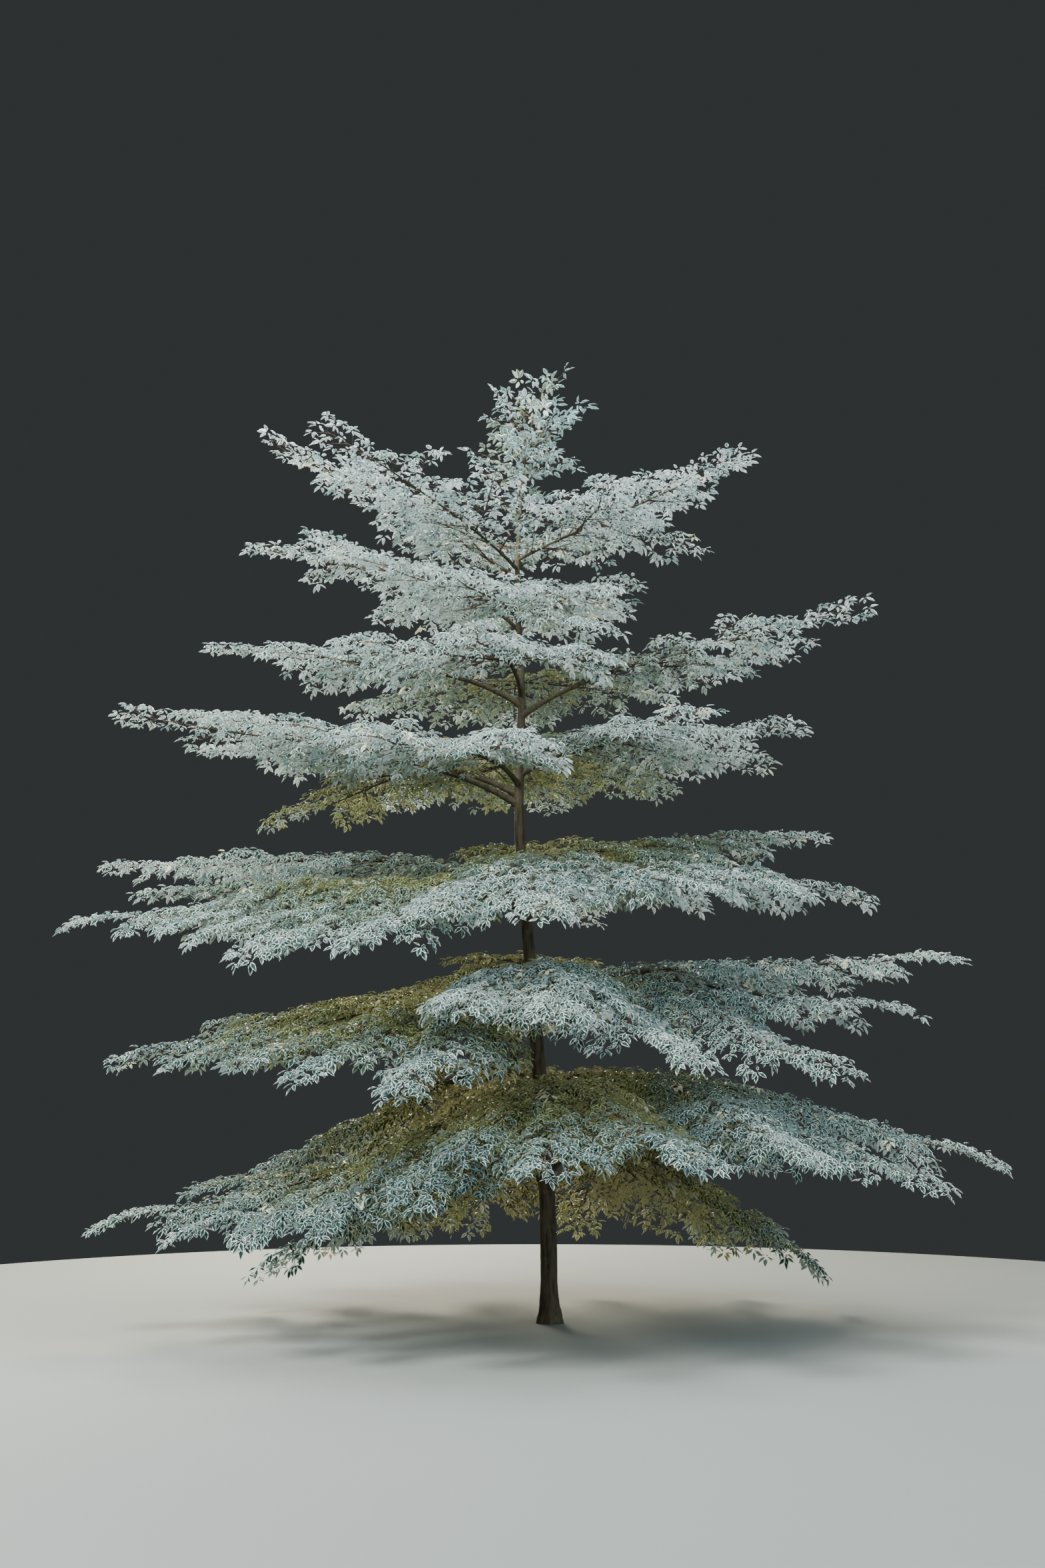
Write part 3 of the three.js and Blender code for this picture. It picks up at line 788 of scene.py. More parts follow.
class Planting:
    """A tree of geometry nodes that turns a plain mesh of points or paths into a finished piece."""

    def __init__(self, name: str, sockets: dict[str, str]) -> None:
        """Builds the tree with its named inputs.

        Args:
            name: The tree's name.
            sockets: For each input after the geometry, its name and its socket type.
        """
        self.tree = bpy.data.node_groups.new(name, "GeometryNodeTree")
        self.tree.is_modifier = True
        self.bench = NodeBench(self.tree)
        self.bench.declare({"Geometry": "NodeSocketGeometry"}, "INPUT")
        self.inputs = self.bench.declare(sockets, "INPUT")
        self.bench.declare({"Geometry": "NodeSocketGeometry"}, "OUTPUT")
        self.entry = self.bench.add("NodeGroupInput").outputs
        self.bench.add("NodeGroupOutput", {"Geometry": self.build()})

    def build(self) -> Socket:
        """Lays out the nodes and returns the last geometry socket."""
        raise NotImplementedError

    @staticmethod
    def plain_mesh(name: str, points: list[Point], edges: list[tuple[int, int]],
                   rows: dict[str, tuple[str, np.ndarray]]) -> Mesh:
        """Makes the mesh that a tree grows from.

        Args:
            name: The mesh's name.
            points: Its points.
            edges: Its edges, as pairs of points by number.
            rows: For each attribute of the points, its name, its kind and its values.

        Returns:
            The mesh.
        """
        mesh = bpy.data.meshes.new(name)
        mesh.from_pydata(points, edges, [])
        for label, (kind, values) in rows.items():
            key = "vector" if kind == "FLOAT_VECTOR" else "value"
            mesh.attributes.new(label, kind, "POINT").data.foreach_set(key, values.ravel())
        return mesh

    def make(self, name: str, seedbed: Mesh, values: dict[str, Any]) -> bpy.types.Object:
        """Runs the tree on a mesh and keeps the result as a plain mesh.

        Args:
            name: The new piece's name.
            seedbed: The mesh of points or paths.
            values: A value for each named input.

        Returns:
            The finished piece, at the origin.
        """
        piece = bpy.data.objects.new(name, seedbed)
        bpy.context.scene.collection.objects.link(piece)
        modifier = piece.modifiers.new("growth", "NODES")
        modifier.node_group = self.tree
        for label, value in values.items():
            modifier[self.inputs[label]] = value
        bpy.context.view_layer.update()
        grown = bpy.data.meshes.new_from_object(piece.evaluated_get(bpy.context.evaluated_depsgraph_get()))
        piece.modifiers.clear()
        piece.data = grown
        bpy.data.meshes.remove(seedbed)
        grown.name = name
        self.tidy(grown)
        return piece

    @staticmethod
    def tidy(mesh: Mesh) -> None:
        """Drops the attributes that growing needed, and material slots that no face uses.

        Args:
            mesh: The grown mesh.
        """
        for label in ("turn", "size", "kind", "tint", "margin", "thickness", "relief"):
            if label in mesh.attributes:
                mesh.attributes.remove(mesh.attributes[label])
        picked = np.zeros(len(mesh.polygons), np.int32)
        mesh.polygons.foreach_get("material_index", picked)
        used = np.unique(picked)
        kept = [mesh.materials[i] for i in used]
        mesh.materials.clear()
        for material in kept:
            mesh.materials.append(material)
        mesh.polygons.foreach_set("material_index", np.searchsorted(used, picked).astype(np.int32))


class WoodPlanting(Planting):
    """Grows round wood along paths, with bark relief where the paths ask for it."""

    SOCKETS = {
        "Sides": "NodeSocketInt",
        "Rings Follow Step": "NodeSocketBool",
        "Step": "NodeSocketFloat",
        "Grain": "NodeSocketVector",
        "Finish": "NodeSocketMaterial",
    }
    WELD = 2e-5

    def __init__(self) -> None:
        """Names the inputs: how many sides, how fine the rings, the grain's scale, and the finish."""
        super().__init__("wood_along_paths", self.SOCKETS)

    def build(self) -> Socket:
        """Lays out the nodes.

        Returns:
            The wood's geometry.
        """
        bench, entry = self.bench, self.entry
        curve = bench.out("GeometryNodeMeshToCurve", {"Mesh": entry["Geometry"]})
        spacing = {"Curve": curve, "Selection": entry["Rings Follow Step"], "Length": entry["Step"]}
        fine = bench.out("GeometryNodeResampleCurve", spacing, mode="LENGTH")
        capture = bench.add("GeometryNodeCaptureAttribute", {"Geometry": fine})
        capture.capture_items.new("VECTOR", "Centre")
        position = bench.out("GeometryNodeInputPosition")
        self.tree.links.new(position, capture.inputs["Centre"])
        ring = {"Resolution": entry["Sides"], "Radius": 1.0}
        rings = {
            "Curve": capture.outputs["Geometry"],
            "Profile Curve": bench.out("GeometryNodeCurvePrimitiveCircle", ring),
            "Scale": bench.attribute("thickness"),
            "Fill Caps": True,
        }
        wood = bench.out("GeometryNodeCurveToMesh", rings)
        stretched = bench.vector("MULTIPLY", position, entry["Grain"])
        noise = bench.out("ShaderNodeTexNoise", {"Vector": stretched, "Scale": 1.0, "Detail": 3.0})
        levels = {"Value": noise, "From Min": 0.3, "From Max": 0.7, "To Min": -1.0, "To Max": 1.0}
        swing = bench.out("ShaderNodeMapRange", levels)
        depth = bench.out("ShaderNodeMath", {0: swing, 1: bench.attribute("relief")}, operation="MULTIPLY")
        spoke = bench.vector("SUBTRACT", position, capture.outputs["Centre"])
        outward = bench.vector("NORMALIZE", spoke)
        shift = bench.out("ShaderNodeVectorMath", {0: outward, "Scale": depth}, operation="SCALE")
        rough = bench.out("GeometryNodeSetPosition", {"Geometry": wood, "Offset": shift})
        pointed = bench.out("GeometryNodeMergeByDistance", {"Geometry": rough, "Distance": self.WELD})
        smooth = bench.out("GeometryNodeSetShadeSmooth", {"Geometry": pointed})
        whole = bench.out("GeometryNodeRealizeInstances", {"Geometry": smooth})
        return bench.out("GeometryNodeSetMaterial", {"Geometry": whole, "Material": entry["Finish"]})

    @classmethod
    def seedbed(cls, name: str, paths: list[WoodPath]) -> Mesh:
        """Makes the mesh of edges that the wood grows along.

        Args:
            name: The mesh's name.
            paths: The runs of wood.

        Returns:
            The mesh, with its thickness and relief as attributes.
        """
        counts = np.array([len(path.points) for path in paths])
        starts = np.concatenate([[0], np.cumsum(counts)[:-1]])
        edges = np.concatenate([np.arange(n - 1) + s for n, s in zip(counts, starts)])
        rows = {
            "thickness": ("FLOAT", np.concatenate([path.radii for path in paths]).astype(np.float32)),
            "relief": ("FLOAT", np.concatenate([path.relief for path in paths]).astype(np.float32)),
        }
        points = np.concatenate([path.points for path in paths]).tolist()
        return cls.plain_mesh(name, points, np.stack([edges, edges + 1], axis=1).tolist(), rows)


class SprayPlanting(Planting):
    """Sets sprays of leaves on points, makes them one mesh, and gives each its two colours in its painted
    light and shade.
    """

    def __init__(self) -> None:
        """Names the inputs: the kinds of spray, and a blade and a margin finish for each painted light and
        shade.
        """
        finishes = {self.socket(tint, part): "NodeSocketMaterial" for tint in PaintedLight for part in LeafPart}
        super().__init__("sprays_on_points", {"Spray Kinds": "NodeSocketCollection", **finishes})

    @staticmethod
    def socket(tint: PaintedLight, part: LeafPart) -> str:
        """Returns the name of the input for the finish of that part of the leaf in one painted light and
        shade.
        """
        return f"{tint.name.title()} {part.name.title()}"

    def build(self) -> Socket:
        """Lays out the nodes.

        Returns:
            The leaves' geometry.
        """
        bench, entry = self.bench, self.entry
        apart = {"Collection": entry["Spray Kinds"], "Separate Children": True, "Reset Children": True}
        turn = {"Euler": bench.attribute("turn", "FLOAT_VECTOR")}
        sprays = {
            "Points": entry["Geometry"],
            "Instance": bench.out("GeometryNodeCollectionInfo", apart),
            "Pick Instance": True,
            "Instance Index": bench.attribute("kind", "INT"),
            "Rotation": bench.out("FunctionNodeEulerToRotation", turn),
            "Scale": bench.attribute("size"),
        }
        placed = bench.out("GeometryNodeInstanceOnPoints", sprays)
        geometry = bench.out("GeometryNodeRealizeInstances", {"Geometry": placed})
        margin = bench.attribute("margin", "BOOLEAN")
        picked = bench.attribute("tint", "INT")
        # Each painted light and shade gets its own blade and margin materials.
        for tint in PaintedLight:
            same = {2: picked, 3: tint.value}
            whole = bench.out("FunctionNodeCompare", same, data_type="INT", operation="EQUAL")
            edge = bench.out("FunctionNodeBooleanMath", {0: whole, 1: margin}, operation="AND")
            for part, where in ((LeafPart.BLADE, whole), (LeafPart.MARGIN, edge)):
                coat = {"Geometry": geometry, "Selection": where, "Material": entry[self.socket(tint, part)]}
                geometry = bench.out("GeometryNodeSetMaterial", coat)
        return geometry

    @classmethod
    def seedbed(cls, name: str, sites: list[Site]) -> Mesh:
        """Makes the mesh of points that the sprays sit on.

        Args:
            name: The mesh's name.
            sites: Where the sprays sit.

        Returns:
            The mesh, with the turns, sizes, kinds and painted light and shade of the sprays as attributes.
        """
        rows = {
            "turn": ("FLOAT_VECTOR", np.array([site.turn for site in sites], np.float32)),
            "size": ("FLOAT", np.array([site.size for site in sites], np.float32)),
            "kind": ("INT", np.array([site.kind for site in sites], np.int32)),
            "tint": ("INT", np.array([site.tint for site in sites], np.int32)),
        }
        return cls.plain_mesh(name, [tuple(map(float, site.place)) for site in sites], [], rows)


def start_material(name: str, colour: Colour) -> tuple[Material, NodeBench]:
    """Makes a material with no nodes yet.

    Args:
        name: Its name.
        colour: The plain colour that stands for it in a simple view.

    Returns:
        The material, and a bench for its nodes.
    """
    material = bpy.data.materials.new(name)
    material.use_nodes = True
    material.diffuse_color = (*colour, 1.0)
    material.node_tree.nodes.clear()
    return material, NodeBench(material.node_tree)


@dataclass(frozen=True)
class LeafFinish:
    """The two plain colours of a variegated leaf as one painted lit or shaded copy, dealt out by spray, and
    how its surface takes light.
    """

    tint: PaintedLight
    blade: Colour
    margin: Colour
    roughness: float = 0.42
    specular: float = 0.35
    see_through: float = 0.31

    def material(self, part: LeafPart) -> Material:
        """Makes the material of one part of the leaf.

        Args:
            part: The green blade or the pale margin.

        Returns:
            The material: a waxy surface, mixed with a share of light that comes through the leaf.
        """
        colour = self.blade if part is LeafPart.BLADE else self.margin
        material, bench = start_material(f"leaf_{part.value}_{self.tint.name.lower()}", colour)
        wax = {"Base Color": (*colour, 1.0), "Roughness": self.roughness, "Specular IOR Level": self.specular}
        surface = bench.out("ShaderNodeBsdfPrincipled", wax)
        through = bench.out("ShaderNodeBsdfTranslucent", {"Color": (*colour, 1.0)})
        mixed = bench.out("ShaderNodeMixShader", {0: self.see_through, 1: surface, 2: through})
        bench.add("ShaderNodeOutputMaterial", {"Surface": mixed})
        return material


# One variegated leaf painted in lit and shaded copies: bright-lit, bluish sky-lit, half shade, shade, warm
# golden shade, and sunlit.
LIT_AND_SHADED_LEAVES = (
    LeafFinish(PaintedLight.FROST, (0.025, 0.070, 0.048), (0.90, 0.98, 0.95)),
    LeafFinish(PaintedLight.SILVER, (0.022, 0.052, 0.038), (0.49, 0.64, 0.64)),
    LeafFinish(PaintedLight.SAGE, (0.032, 0.068, 0.042), (0.45, 0.53, 0.44)),
    LeafFinish(PaintedLight.OLIVE, (0.05, 0.075, 0.02), (0.49, 0.51, 0.25)),
    LeafFinish(PaintedLight.GOLD, (0.115, 0.12, 0.035), (0.66, 0.63, 0.32)),
    LeafFinish(PaintedLight.CREAM, (0.50, 0.50, 0.33), (0.95, 0.92, 0.74)),
)


@dataclass(frozen=True)
class Leaf:
    """A leaf: a pale outline folded along its midrib, and a green blade that lies on it, inside the margin.

    A point is its share of the length, its share of the width and its height as a share of the length.
    """

    root: Point = (0.0, 0.0, 0.0)
    tip: Point = (1.0, 0.0, -0.10)
    shoulders: tuple[Point, Point] = ((0.30, 0.48, 0.045), (0.68, 0.38, 0.02))
    blade: Point = (0.46, 0.385, 0.052)

    def corners(self, width: float) -> list[Point]:
        """Returns the leaf's points for a length of 1 and that width."""
        sides = [(x, side * y * width, z) for side in (1, -1) for x, y, z in (*self.shoulders, self.blade)]
        return [self.root, self.tip, *sides]

    @staticmethod
    def faces() -> tuple[list[tuple[int, int, int]], list[bool]]:
        """Lists the leaf's triangles.

        Returns:
            The triangles by corner, and for each whether it is part of the pale outline.
        """
        faces: list[tuple[int, int, int]] = []
        margin: list[bool] = []
        for side, (near, far, blade) in ((1, (2, 3, 4)), (-1, (5, 6, 7))):
            for corners, pale in (((0, far, near), True), ((0, 1, far), True), ((0, 1, blade), False)):
                faces.append(corners if side > 0 else corners[::-1])
                margin.append(pale)
        return faces, margin


@dataclass
class SprayKinds:
    """The arrangements of leaves round a twig's end, from which every spray is taken.

    In metres, degrees and shares of a leaf's length, with the wobble of a leaf round the twig in radians.
    """

    leaf: Leaf = field(default_factory=Leaf)
    seed: int = 31
    fewest_leaves: int = 6
    around_wobble: float = 0.35
    shortest: float = 0.88
    forward_gain: float = 0.14
    length_spread: Span = (0.82, 1.12)
    hang: Span = (6.0, 46.0)
    hang_loss: float = 14.0
    roll_wobble: float = 28.0
    stalk_out: float = 0.011
    stalk_foot: float = -0.008
    stalk_rise: float = 0.004

    def make(self) -> bpy.types.Collection:
        """Makes one object for each kind of spray, in a collection that isn't part of the scene.

        Returns:
            The collection.
        """
        collection = bpy.data.collections.new("spray_kinds")
        for number in range(SIZES.spray_kinds):
            count = self.fewest_leaves + number % 2
            mesh = self.make_spray(f"spray_kind_{number:02d}", Seeded(self.seed + number), count)
            collection.objects.link(bpy.data.objects.new(mesh.name, mesh))
        return collection

    def make_spray(self, name: str, draw: Seeded, count: int) -> Mesh:
        """Makes one spray: leaves that turn round a twig's end, each a little higher than the last.

        Args:
            name: The mesh's name.
            draw: Where its chances come from.
            count: How many leaves it has.

        Returns:
            The spray's mesh, with its margins marked.
        """
        points: list[Point] = []
        faces: list[tuple[int, int, int]] = []
        margins: list[bool] = []
        leaf_faces, leaf_margins = self.leaf.faces()
        for i in range(count):
            around = i * GOLDEN_ANGLE + draw.wobble(self.around_wobble)
            share = self.shortest + self.forward_gain * math.cos(around)
            length = SIZES.leaf_length * share * draw.between(*self.length_spread)
            hang = math.radians(draw.between(*self.hang) - self.hang_loss * i / count)
            turned = Euler((math.radians(draw.wobble(self.roll_wobble)), hang, around), "XYZ").to_matrix()
            out, rise = self.stalk_out, self.stalk_rise * i + self.stalk_foot
            stalk = Vector((out * math.cos(around), out * math.sin(around), rise))
            first = len(points)
            for corner in self.leaf.corners(SIZES.leaf_width * draw.between(*SIZES.leaf_spread)):
                points.append(tuple(stalk + turned @ (Vector(corner) * length)))
            faces.extend(tuple(first + c for c in face) for face in leaf_faces)
            margins.extend(leaf_margins)
        mesh = bpy.data.meshes.new(name)
        mesh.from_pydata(points, [], faces)
        mesh.attributes.new("margin", "BOOLEAN", "FACE").data.foreach_set("value", margins)
        return mesh


class BarkGroup:
    """The shader group that the barks share: streaks, pale patches, and a height for the bump."""

    INPUTS = {
        "Vector": "NodeSocketVector",
        "Base": "NodeSocketColor",
        "Furrow": "NodeSocketColor",
        "Lichen": "NodeSocketColor",
        "Grain": "NodeSocketVector",
        "Lichen Share": "NodeSocketFloat",
    }
    OUTPUTS = {"Color": "NodeSocketColor", "Roughness": "NodeSocketFloat", "Height": "NodeSocketFloat"}

    def __init__(self) -> None:
        """Builds the group once."""
        self.tree = bpy.data.node_groups.new("bark_weathering", "ShaderNodeTree")
        bench = NodeBench(self.tree)
        bench.declare(self.INPUTS, "INPUT")
        bench.declare(self.OUTPUTS, "OUTPUT")
        entry = bench.add("NodeGroupInput").outputs
        place = entry["Vector"]
        stretched = bench.vector("MULTIPLY", place, entry["Grain"])
        fine = {"Vector": stretched, "Scale": 1.0, "Detail": 6.0, "Roughness": 0.62}
        streaks = bench.out("ShaderNodeTexNoise", fine)
        coarse = {"Vector": place, "Scale": 5.0, "Detail": 4.0, "Roughness": 0.6}
        patches = bench.out("ShaderNodeTexNoise", coarse)
        furrow = bench.out("ShaderNodeMapRange", {"Value": streaks, "From Min": 0.36, "From Max": 0.56})
        aged = self.mix(bench, furrow, entry["Furrow"], entry["Base"])
        spread = bench.out("ShaderNodeMapRange", {"Value": patches, "From Min": 0.55, "From Max": 0.7})
        share = bench.out("ShaderNodeMath", {0: spread, 1: entry["Lichen Share"]}, operation="MULTIPLY")
        grown = self.mix(bench, share, aged, entry["Lichen"])
        dull = bench.out("ShaderNodeMapRange", {"Value": streaks, "To Min": 0.95, "To Max": 0.7})
        bench.add("NodeGroupOutput", {"Color": grown, "Roughness": dull, "Height": streaks})

    @staticmethod
    def mix(bench: NodeBench, share: Socket, one: Socket, other: Socket) -> Socket:
        """Returns the colour that goes from one to the other by that share."""
        return bench.add("ShaderNodeMix", {"Factor": share, 6: one, 7: other}, data_type="RGBA").outputs[2]


@dataclass(frozen=True)
class BarkFinish:
    """A bark: its colours, the scale of its grain along each axis, and how deep its bump is."""

    name: str
    base: Colour
    furrow: Colour
    lichen: Colour
    grain: Point
    lichen_share: float
    bump: float
    bump_strength: float = 0.6
    specular: float = 0.25

    def material(self, group: BarkGroup) -> Material:
        """Makes the material.

        Args:
            group: The shader group that weathers the bark.

        Returns:
            The material.
        """
        material, bench = start_material(self.name, self.base)
        values = {
            "Vector": bench.add("ShaderNodeTexCoord").outputs["Object"],
            "Base": (*self.base, 1.0),
            "Furrow": (*self.furrow, 1.0),
            "Lichen": (*self.lichen, 1.0),
            "Grain": self.grain,
            "Lichen Share": self.lichen_share,
        }
        weathered = bench.add("ShaderNodeGroup", values, node_tree=group.tree).outputs
        relief = {"Strength": self.bump_strength, "Distance": self.bump, "Height": weathered["Height"]}
        coat = {
            "Base Color": weathered["Color"],
            "Roughness": weathered["Roughness"],
            "Normal": bench.out("ShaderNodeBump", relief),
            "Specular IOR Level": self.specular,
        }
        bench.add("ShaderNodeOutputMaterial", {"Surface": bench.out("ShaderNodeBsdfPrincipled", coat)})
        return material


TRUNK_BARK = BarkFinish(
    name="trunk_bark",
    base=(0.080, 0.061, 0.034),
    furrow=(0.022, 0.017, 0.010),
    lichen=(0.165, 0.165, 0.10),
    grain=(38.0, 38.0, 5.0),
    lichen_share=0.4,
    bump=0.004,
)
BOUGH_BARK = BarkFinish(
    name="bough_bark",
    base=(0.076, 0.060, 0.034),
    furrow=(0.028, 0.021, 0.013),
    lichen=(0.155, 0.15, 0.095),
    grain=(34.0, 34.0, 34.0),
    lichen_share=0.3,
    bump=0.002,
)
SHOOT_BARK = BarkFinish(
    name="shoot_bark",
    base=(0.085, 0.055, 0.038),
    furrow=(0.045, 0.027, 0.018),
    lichen=(0.13, 0.10, 0.075),
    grain=(60.0, 60.0, 60.0),
    lichen_share=0.2,
    bump=0.0005,
)


@dataclass
class Workshop:
    """What every sub-assembly shares: the two plantings, the kinds of spray, and the finishes."""

    wood: WoodPlanting = field(default_factory=WoodPlanting)
    sprays: SprayPlanting = field(default_factory=SprayPlanting)
    kinds: bpy.types.Collection = field(default_factory=lambda: SprayKinds().make())
    barks: dict[str, Material] = field(default_factory=dict)
    leaves: dict[str, Material] = field(default_factory=dict)

    def __post_init__(self) -> None:
        """Makes the finishes."""
        group = BarkGroup()
        self.barks = {finish.name: finish.material(group) for finish in (TRUNK_BARK, BOUGH_BARK, SHOOT_BARK)}
        for finish, part in itertools.product(LIT_AND_SHADED_LEAVES, LeafPart):
            self.leaves[SprayPlanting.socket(finish.tint, part)] = finish.material(part)

    def add_wood(self, name: str, paths: list[WoodPath], bark: BarkFinish, sides: int, slot: str,
                 nodes: list[str], step: float = 0.0) -> None:
        """Makes and settles a piece of wood.

        Args:
            name: The piece's name.
            paths: Its runs of wood.
            bark: Its finish.
            sides: How many sides each run has.
            slot: The record's material slot.
            nodes: The solids that it replaces.
            step: The distance between two rings, or 0 for rings at the paths' own points.
        """
        values = {
            "Sides": sides,
            "Rings Follow Step": step > 0,
            "Step": max(step, MM),
            "Grain": bark.grain,
            "Finish": self.barks[bark.name],
        }
        self.settle(self.wood.make(name, WoodPlanting.seedbed(name, paths), values), slot, nodes)

    def add_leaves(self, name: str, sites: list[Site], nodes: list[str]) -> None:
        """Makes and settles a piece of leaves at those sites, in place of those solids."""
        values = {"Spray Kinds": self.kinds, **self.leaves}
        self.settle(self.sprays.make(name, SprayPlanting.seedbed(name, sites), values), "foliage", nodes)

    @staticmethod
    def settle(piece: bpy.types.Object, slot: str, nodes: list[str]) -> None:
        """Sets a piece on its body, hides the solids that it stands for, and reports it.

        Args:
            piece: The piece.
            slot: The record's material slot; not used.
            nodes: The solids that it replaces.
        """
        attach(piece, BODY)
        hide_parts(*nodes)
        piece.data.calc_loop_triangles()
        count = len(piece.data.loop_triangles)
        LOG.info("%s: %d triangles, stands for %d solids", piece.name, count, len(nodes))


@dataclass
class Trunk:
    """The trunk: a bent, tapered stem with shallow furrows, collars at its whorls and a lobed root flare."""

    shape: TrunkShape = TRUNK
    sides: int = 40
    ring_step: float = 0.02
    level_foot: float = 0.004
    furrow_depth: float = 0.0022
    furrow_share: float = 0.05
    flare_relief: float = 0.009
    collar: float = 0.10
    collar_height: float = 0.09

    def path(self) -> WoodPath:
        """Lays out the trunk's wood.

        Returns:
            The run of wood, with a level foot.
        """
        rings = np.arange(self.ring_step, self.shape.height, self.ring_step)
        heights = np.concatenate([[0.0, self.level_foot], rings, [self.shape.height]])
        points = np.array([self.shape.centre(height) for height in heights])
        points[1, :2] = points[0, :2]
        radii = np.array([self.shape.radius(height) * self.swelling(height) for height in heights])
        flare = np.clip(1 - heights / self.shape.flare_height, 0, 1) ** 2
        relief = np.minimum(self.furrow_depth, radii * self.furrow_share) + self.flare_relief * flare
        relief[-1] = 0.0
        return WoodPath(points, radii, relief)

    def swelling(self, height: float) -> float:
        """Returns how much thicker the trunk is where a whorl's collars sit, as a factor."""
        near = [abs(height - tier.height * MM) / self.collar_height for tier in TIERS]
        return 1 + self.collar * max(0.0, 1 - min(near)) ** 2

    def make(self, shop: Workshop) -> None:
        """Makes and settles the trunk with what the sub-assemblies share."""
        shop.add_wood("trunk_wood", [self.path()], TRUNK_BARK, self.sides, "trunk_bark", ["trunk"])


@dataclass
class TierGrowth:
    """One tier: its boughs and side limbs, and the masses of foliage that they carry.

    Lengths and radii are in metres. A limb thins by taper along its reach, and by tip_taper more at its tip.
    Each side limb forks a fork_step further out than the last, and lies between its goal's own line and the
    straight one, by lobe_weights.
    """

    number: int
    tier: Tier
    whorl_step: float = 0.082
    radius_share: float = 0.0078
    least_radius: float = 0.015
    taper: float = 0.62
    tip_taper: float = 0.35
    tip_radius: float = 0.0045
    slimmer: float = 0.35
    slim_from: float = 0.2
    tip_setback: float = 0.94
    line_points: int = 25
    first_fork: float = 0.16
    fork_past_bare: float = 0.03
    fork_step: float = 0.09
    lobe_bend: float = 0.55
    lobe_weights: Span = (0.7, 0.3)
    lobe_span: Span = (0.35, 0.6)
    inner_points: int = 12
    inner_fullness: float = 0.8
    bare_step: float = 0.07
    bare_relief: float = 0.0016
    root_collar: float = 0.55
    root_collar_length: float = 0.07
    bough_sides: int = 12
    bough_ring_step: float = 0.03
    limb_sides: int = 8
    twig_sides: int = 3

    def start(self, bough: Bough, index: int) -> tuple[BoughShape, float]:
        """Finds a bough's line and its radius by the trunk.

        Args:
            bough: The bough's row.
            index: Its place in the tier, from which it has its height in the whorl.

        Returns:
            The line and the radius.
        """
        middle = (len(self.tier.boughs) - 1) / 2
        foot = TRUNK.centre(self.tier.height * MM + (index - middle) * self.whorl_step)
        reach = bough.reach * MM
        shoulder = self.tier.shoulder * bough.rise * MM
        shape = BoughShape(foot, bough.azimuth, reach, bough.tip_height * MM, shoulder)
        return shape, max(self.least_radius, reach * self.radius_share)

    def limb_radius(self, thick: float, share: float) -> float:
        """Returns a limb's radius at a share of its bough's reach: as the solid's, but finer at the tip."""
        return max(self.tip_radius, thick * (1 - self.taper * share) * (1 - self.tip_taper * share**3))

    def slimming(self, share: float) -> float:
        """Returns how much thinner than its bough a limb is at a share of its length, as a factor."""
        return 1 - self.slimmer * min(1.0, share / self.slim_from)

    def tip_share(self, reach: float) -> float:
        """Returns the share of a reach at which its last branchlet starts."""
        return 1 - self.tip_setback * SIZES.branchlet_length / reach

    def limbs(self, bough: Bough, index: int) -> list[Limb]:
        """Lays out a bough's limbs, as the part's solids do: the stem, and a side limb to each lobe.

        Args:
            bough: The bough's row.
            index: Its place in the tier.

        Returns:
            The stem, from the trunk to its last branchlet, and the side limbs.
        """
        shape, thick = self.start(bough, index)
        bare, tip = bough.bare, self.tip_share(shape.reach)
        stem = Line(shape.point(share) for share in np.linspace(bare, tip, self.line_points))
        limbs = [Limb(stem, lambda s: self.limb_radius(thick, bare + (tip - bare) * s) * self.slimming(s),
                      is_stem=True, on_trunk=bare == 0)]
        near, far = self.lobe_span
        bent, straight = self.lobe_weights
        first_fork = max(bare + self.fork_past_bare, self.first_fork)
        for i, (azimuth, lobe_reach, height) in enumerate(bough.lobes):
            fork = (first_fork + self.fork_step * i - bare) / (tip - bare)
            goal = replace(shape, azimuth=azimuth, reach=lobe_reach * MM, tip_height=height * MM)
            start, end = stem.at(fork), goal.point(self.tip_share(goal.reach))
            control = goal.point(self.lobe_bend) * bent + (start + end) / 2 * straight
            limbs.append(Limb(Line.bent(start, control, end, self.line_points),
                              lambda s: self.limb_radius(thick, near + far * s) * self.slimming(1)))
        return limbs

    def bare_wood(self, bough: Bough, index: int) -> WoodPath:
        """Lays out the wood from the trunk to where the bough's foliage starts, with a collar at its root.

        Args:
            bough: The bough's row.
            index: Its place in the tier.

        Returns:
            The run of wood.
        """
        shape, thick = self.start(bough, index)
        shares = np.linspace(0, bough.bare, max(6, round(bough.bare * shape.reach / self.bare_step)))
        points = np.array([shape.point(share) for share in shares])
        collar = 1 + self.root_collar * np.exp(-(shares * shape.reach) / self.root_collar_length)
        radii = np.array([self.limb_radius(thick, share) for share in shares]) * collar
        relief = np.full(len(shares), self.bare_relief)
        relief[[0, -1]] = 0.0
        return WoodPath(points, radii, relief)

    def inner_limb(self, wood: WoodPath) -> Limb:
        """Finds the outer part of a bough's own wood, where leaves cover it.

        Args:
            wood: The bough's wood.

        Returns:
            That part, as a limb without a tip.
        """
        line = Line(wood.points)
        covered = Line(line.at(share) for share in np.linspace(1 - self.tier.leafed, 1, self.inner_points))
        return Limb(covered, lambda _: wood.radii[-1], has_tip=False, fullness=self.inner_fullness)

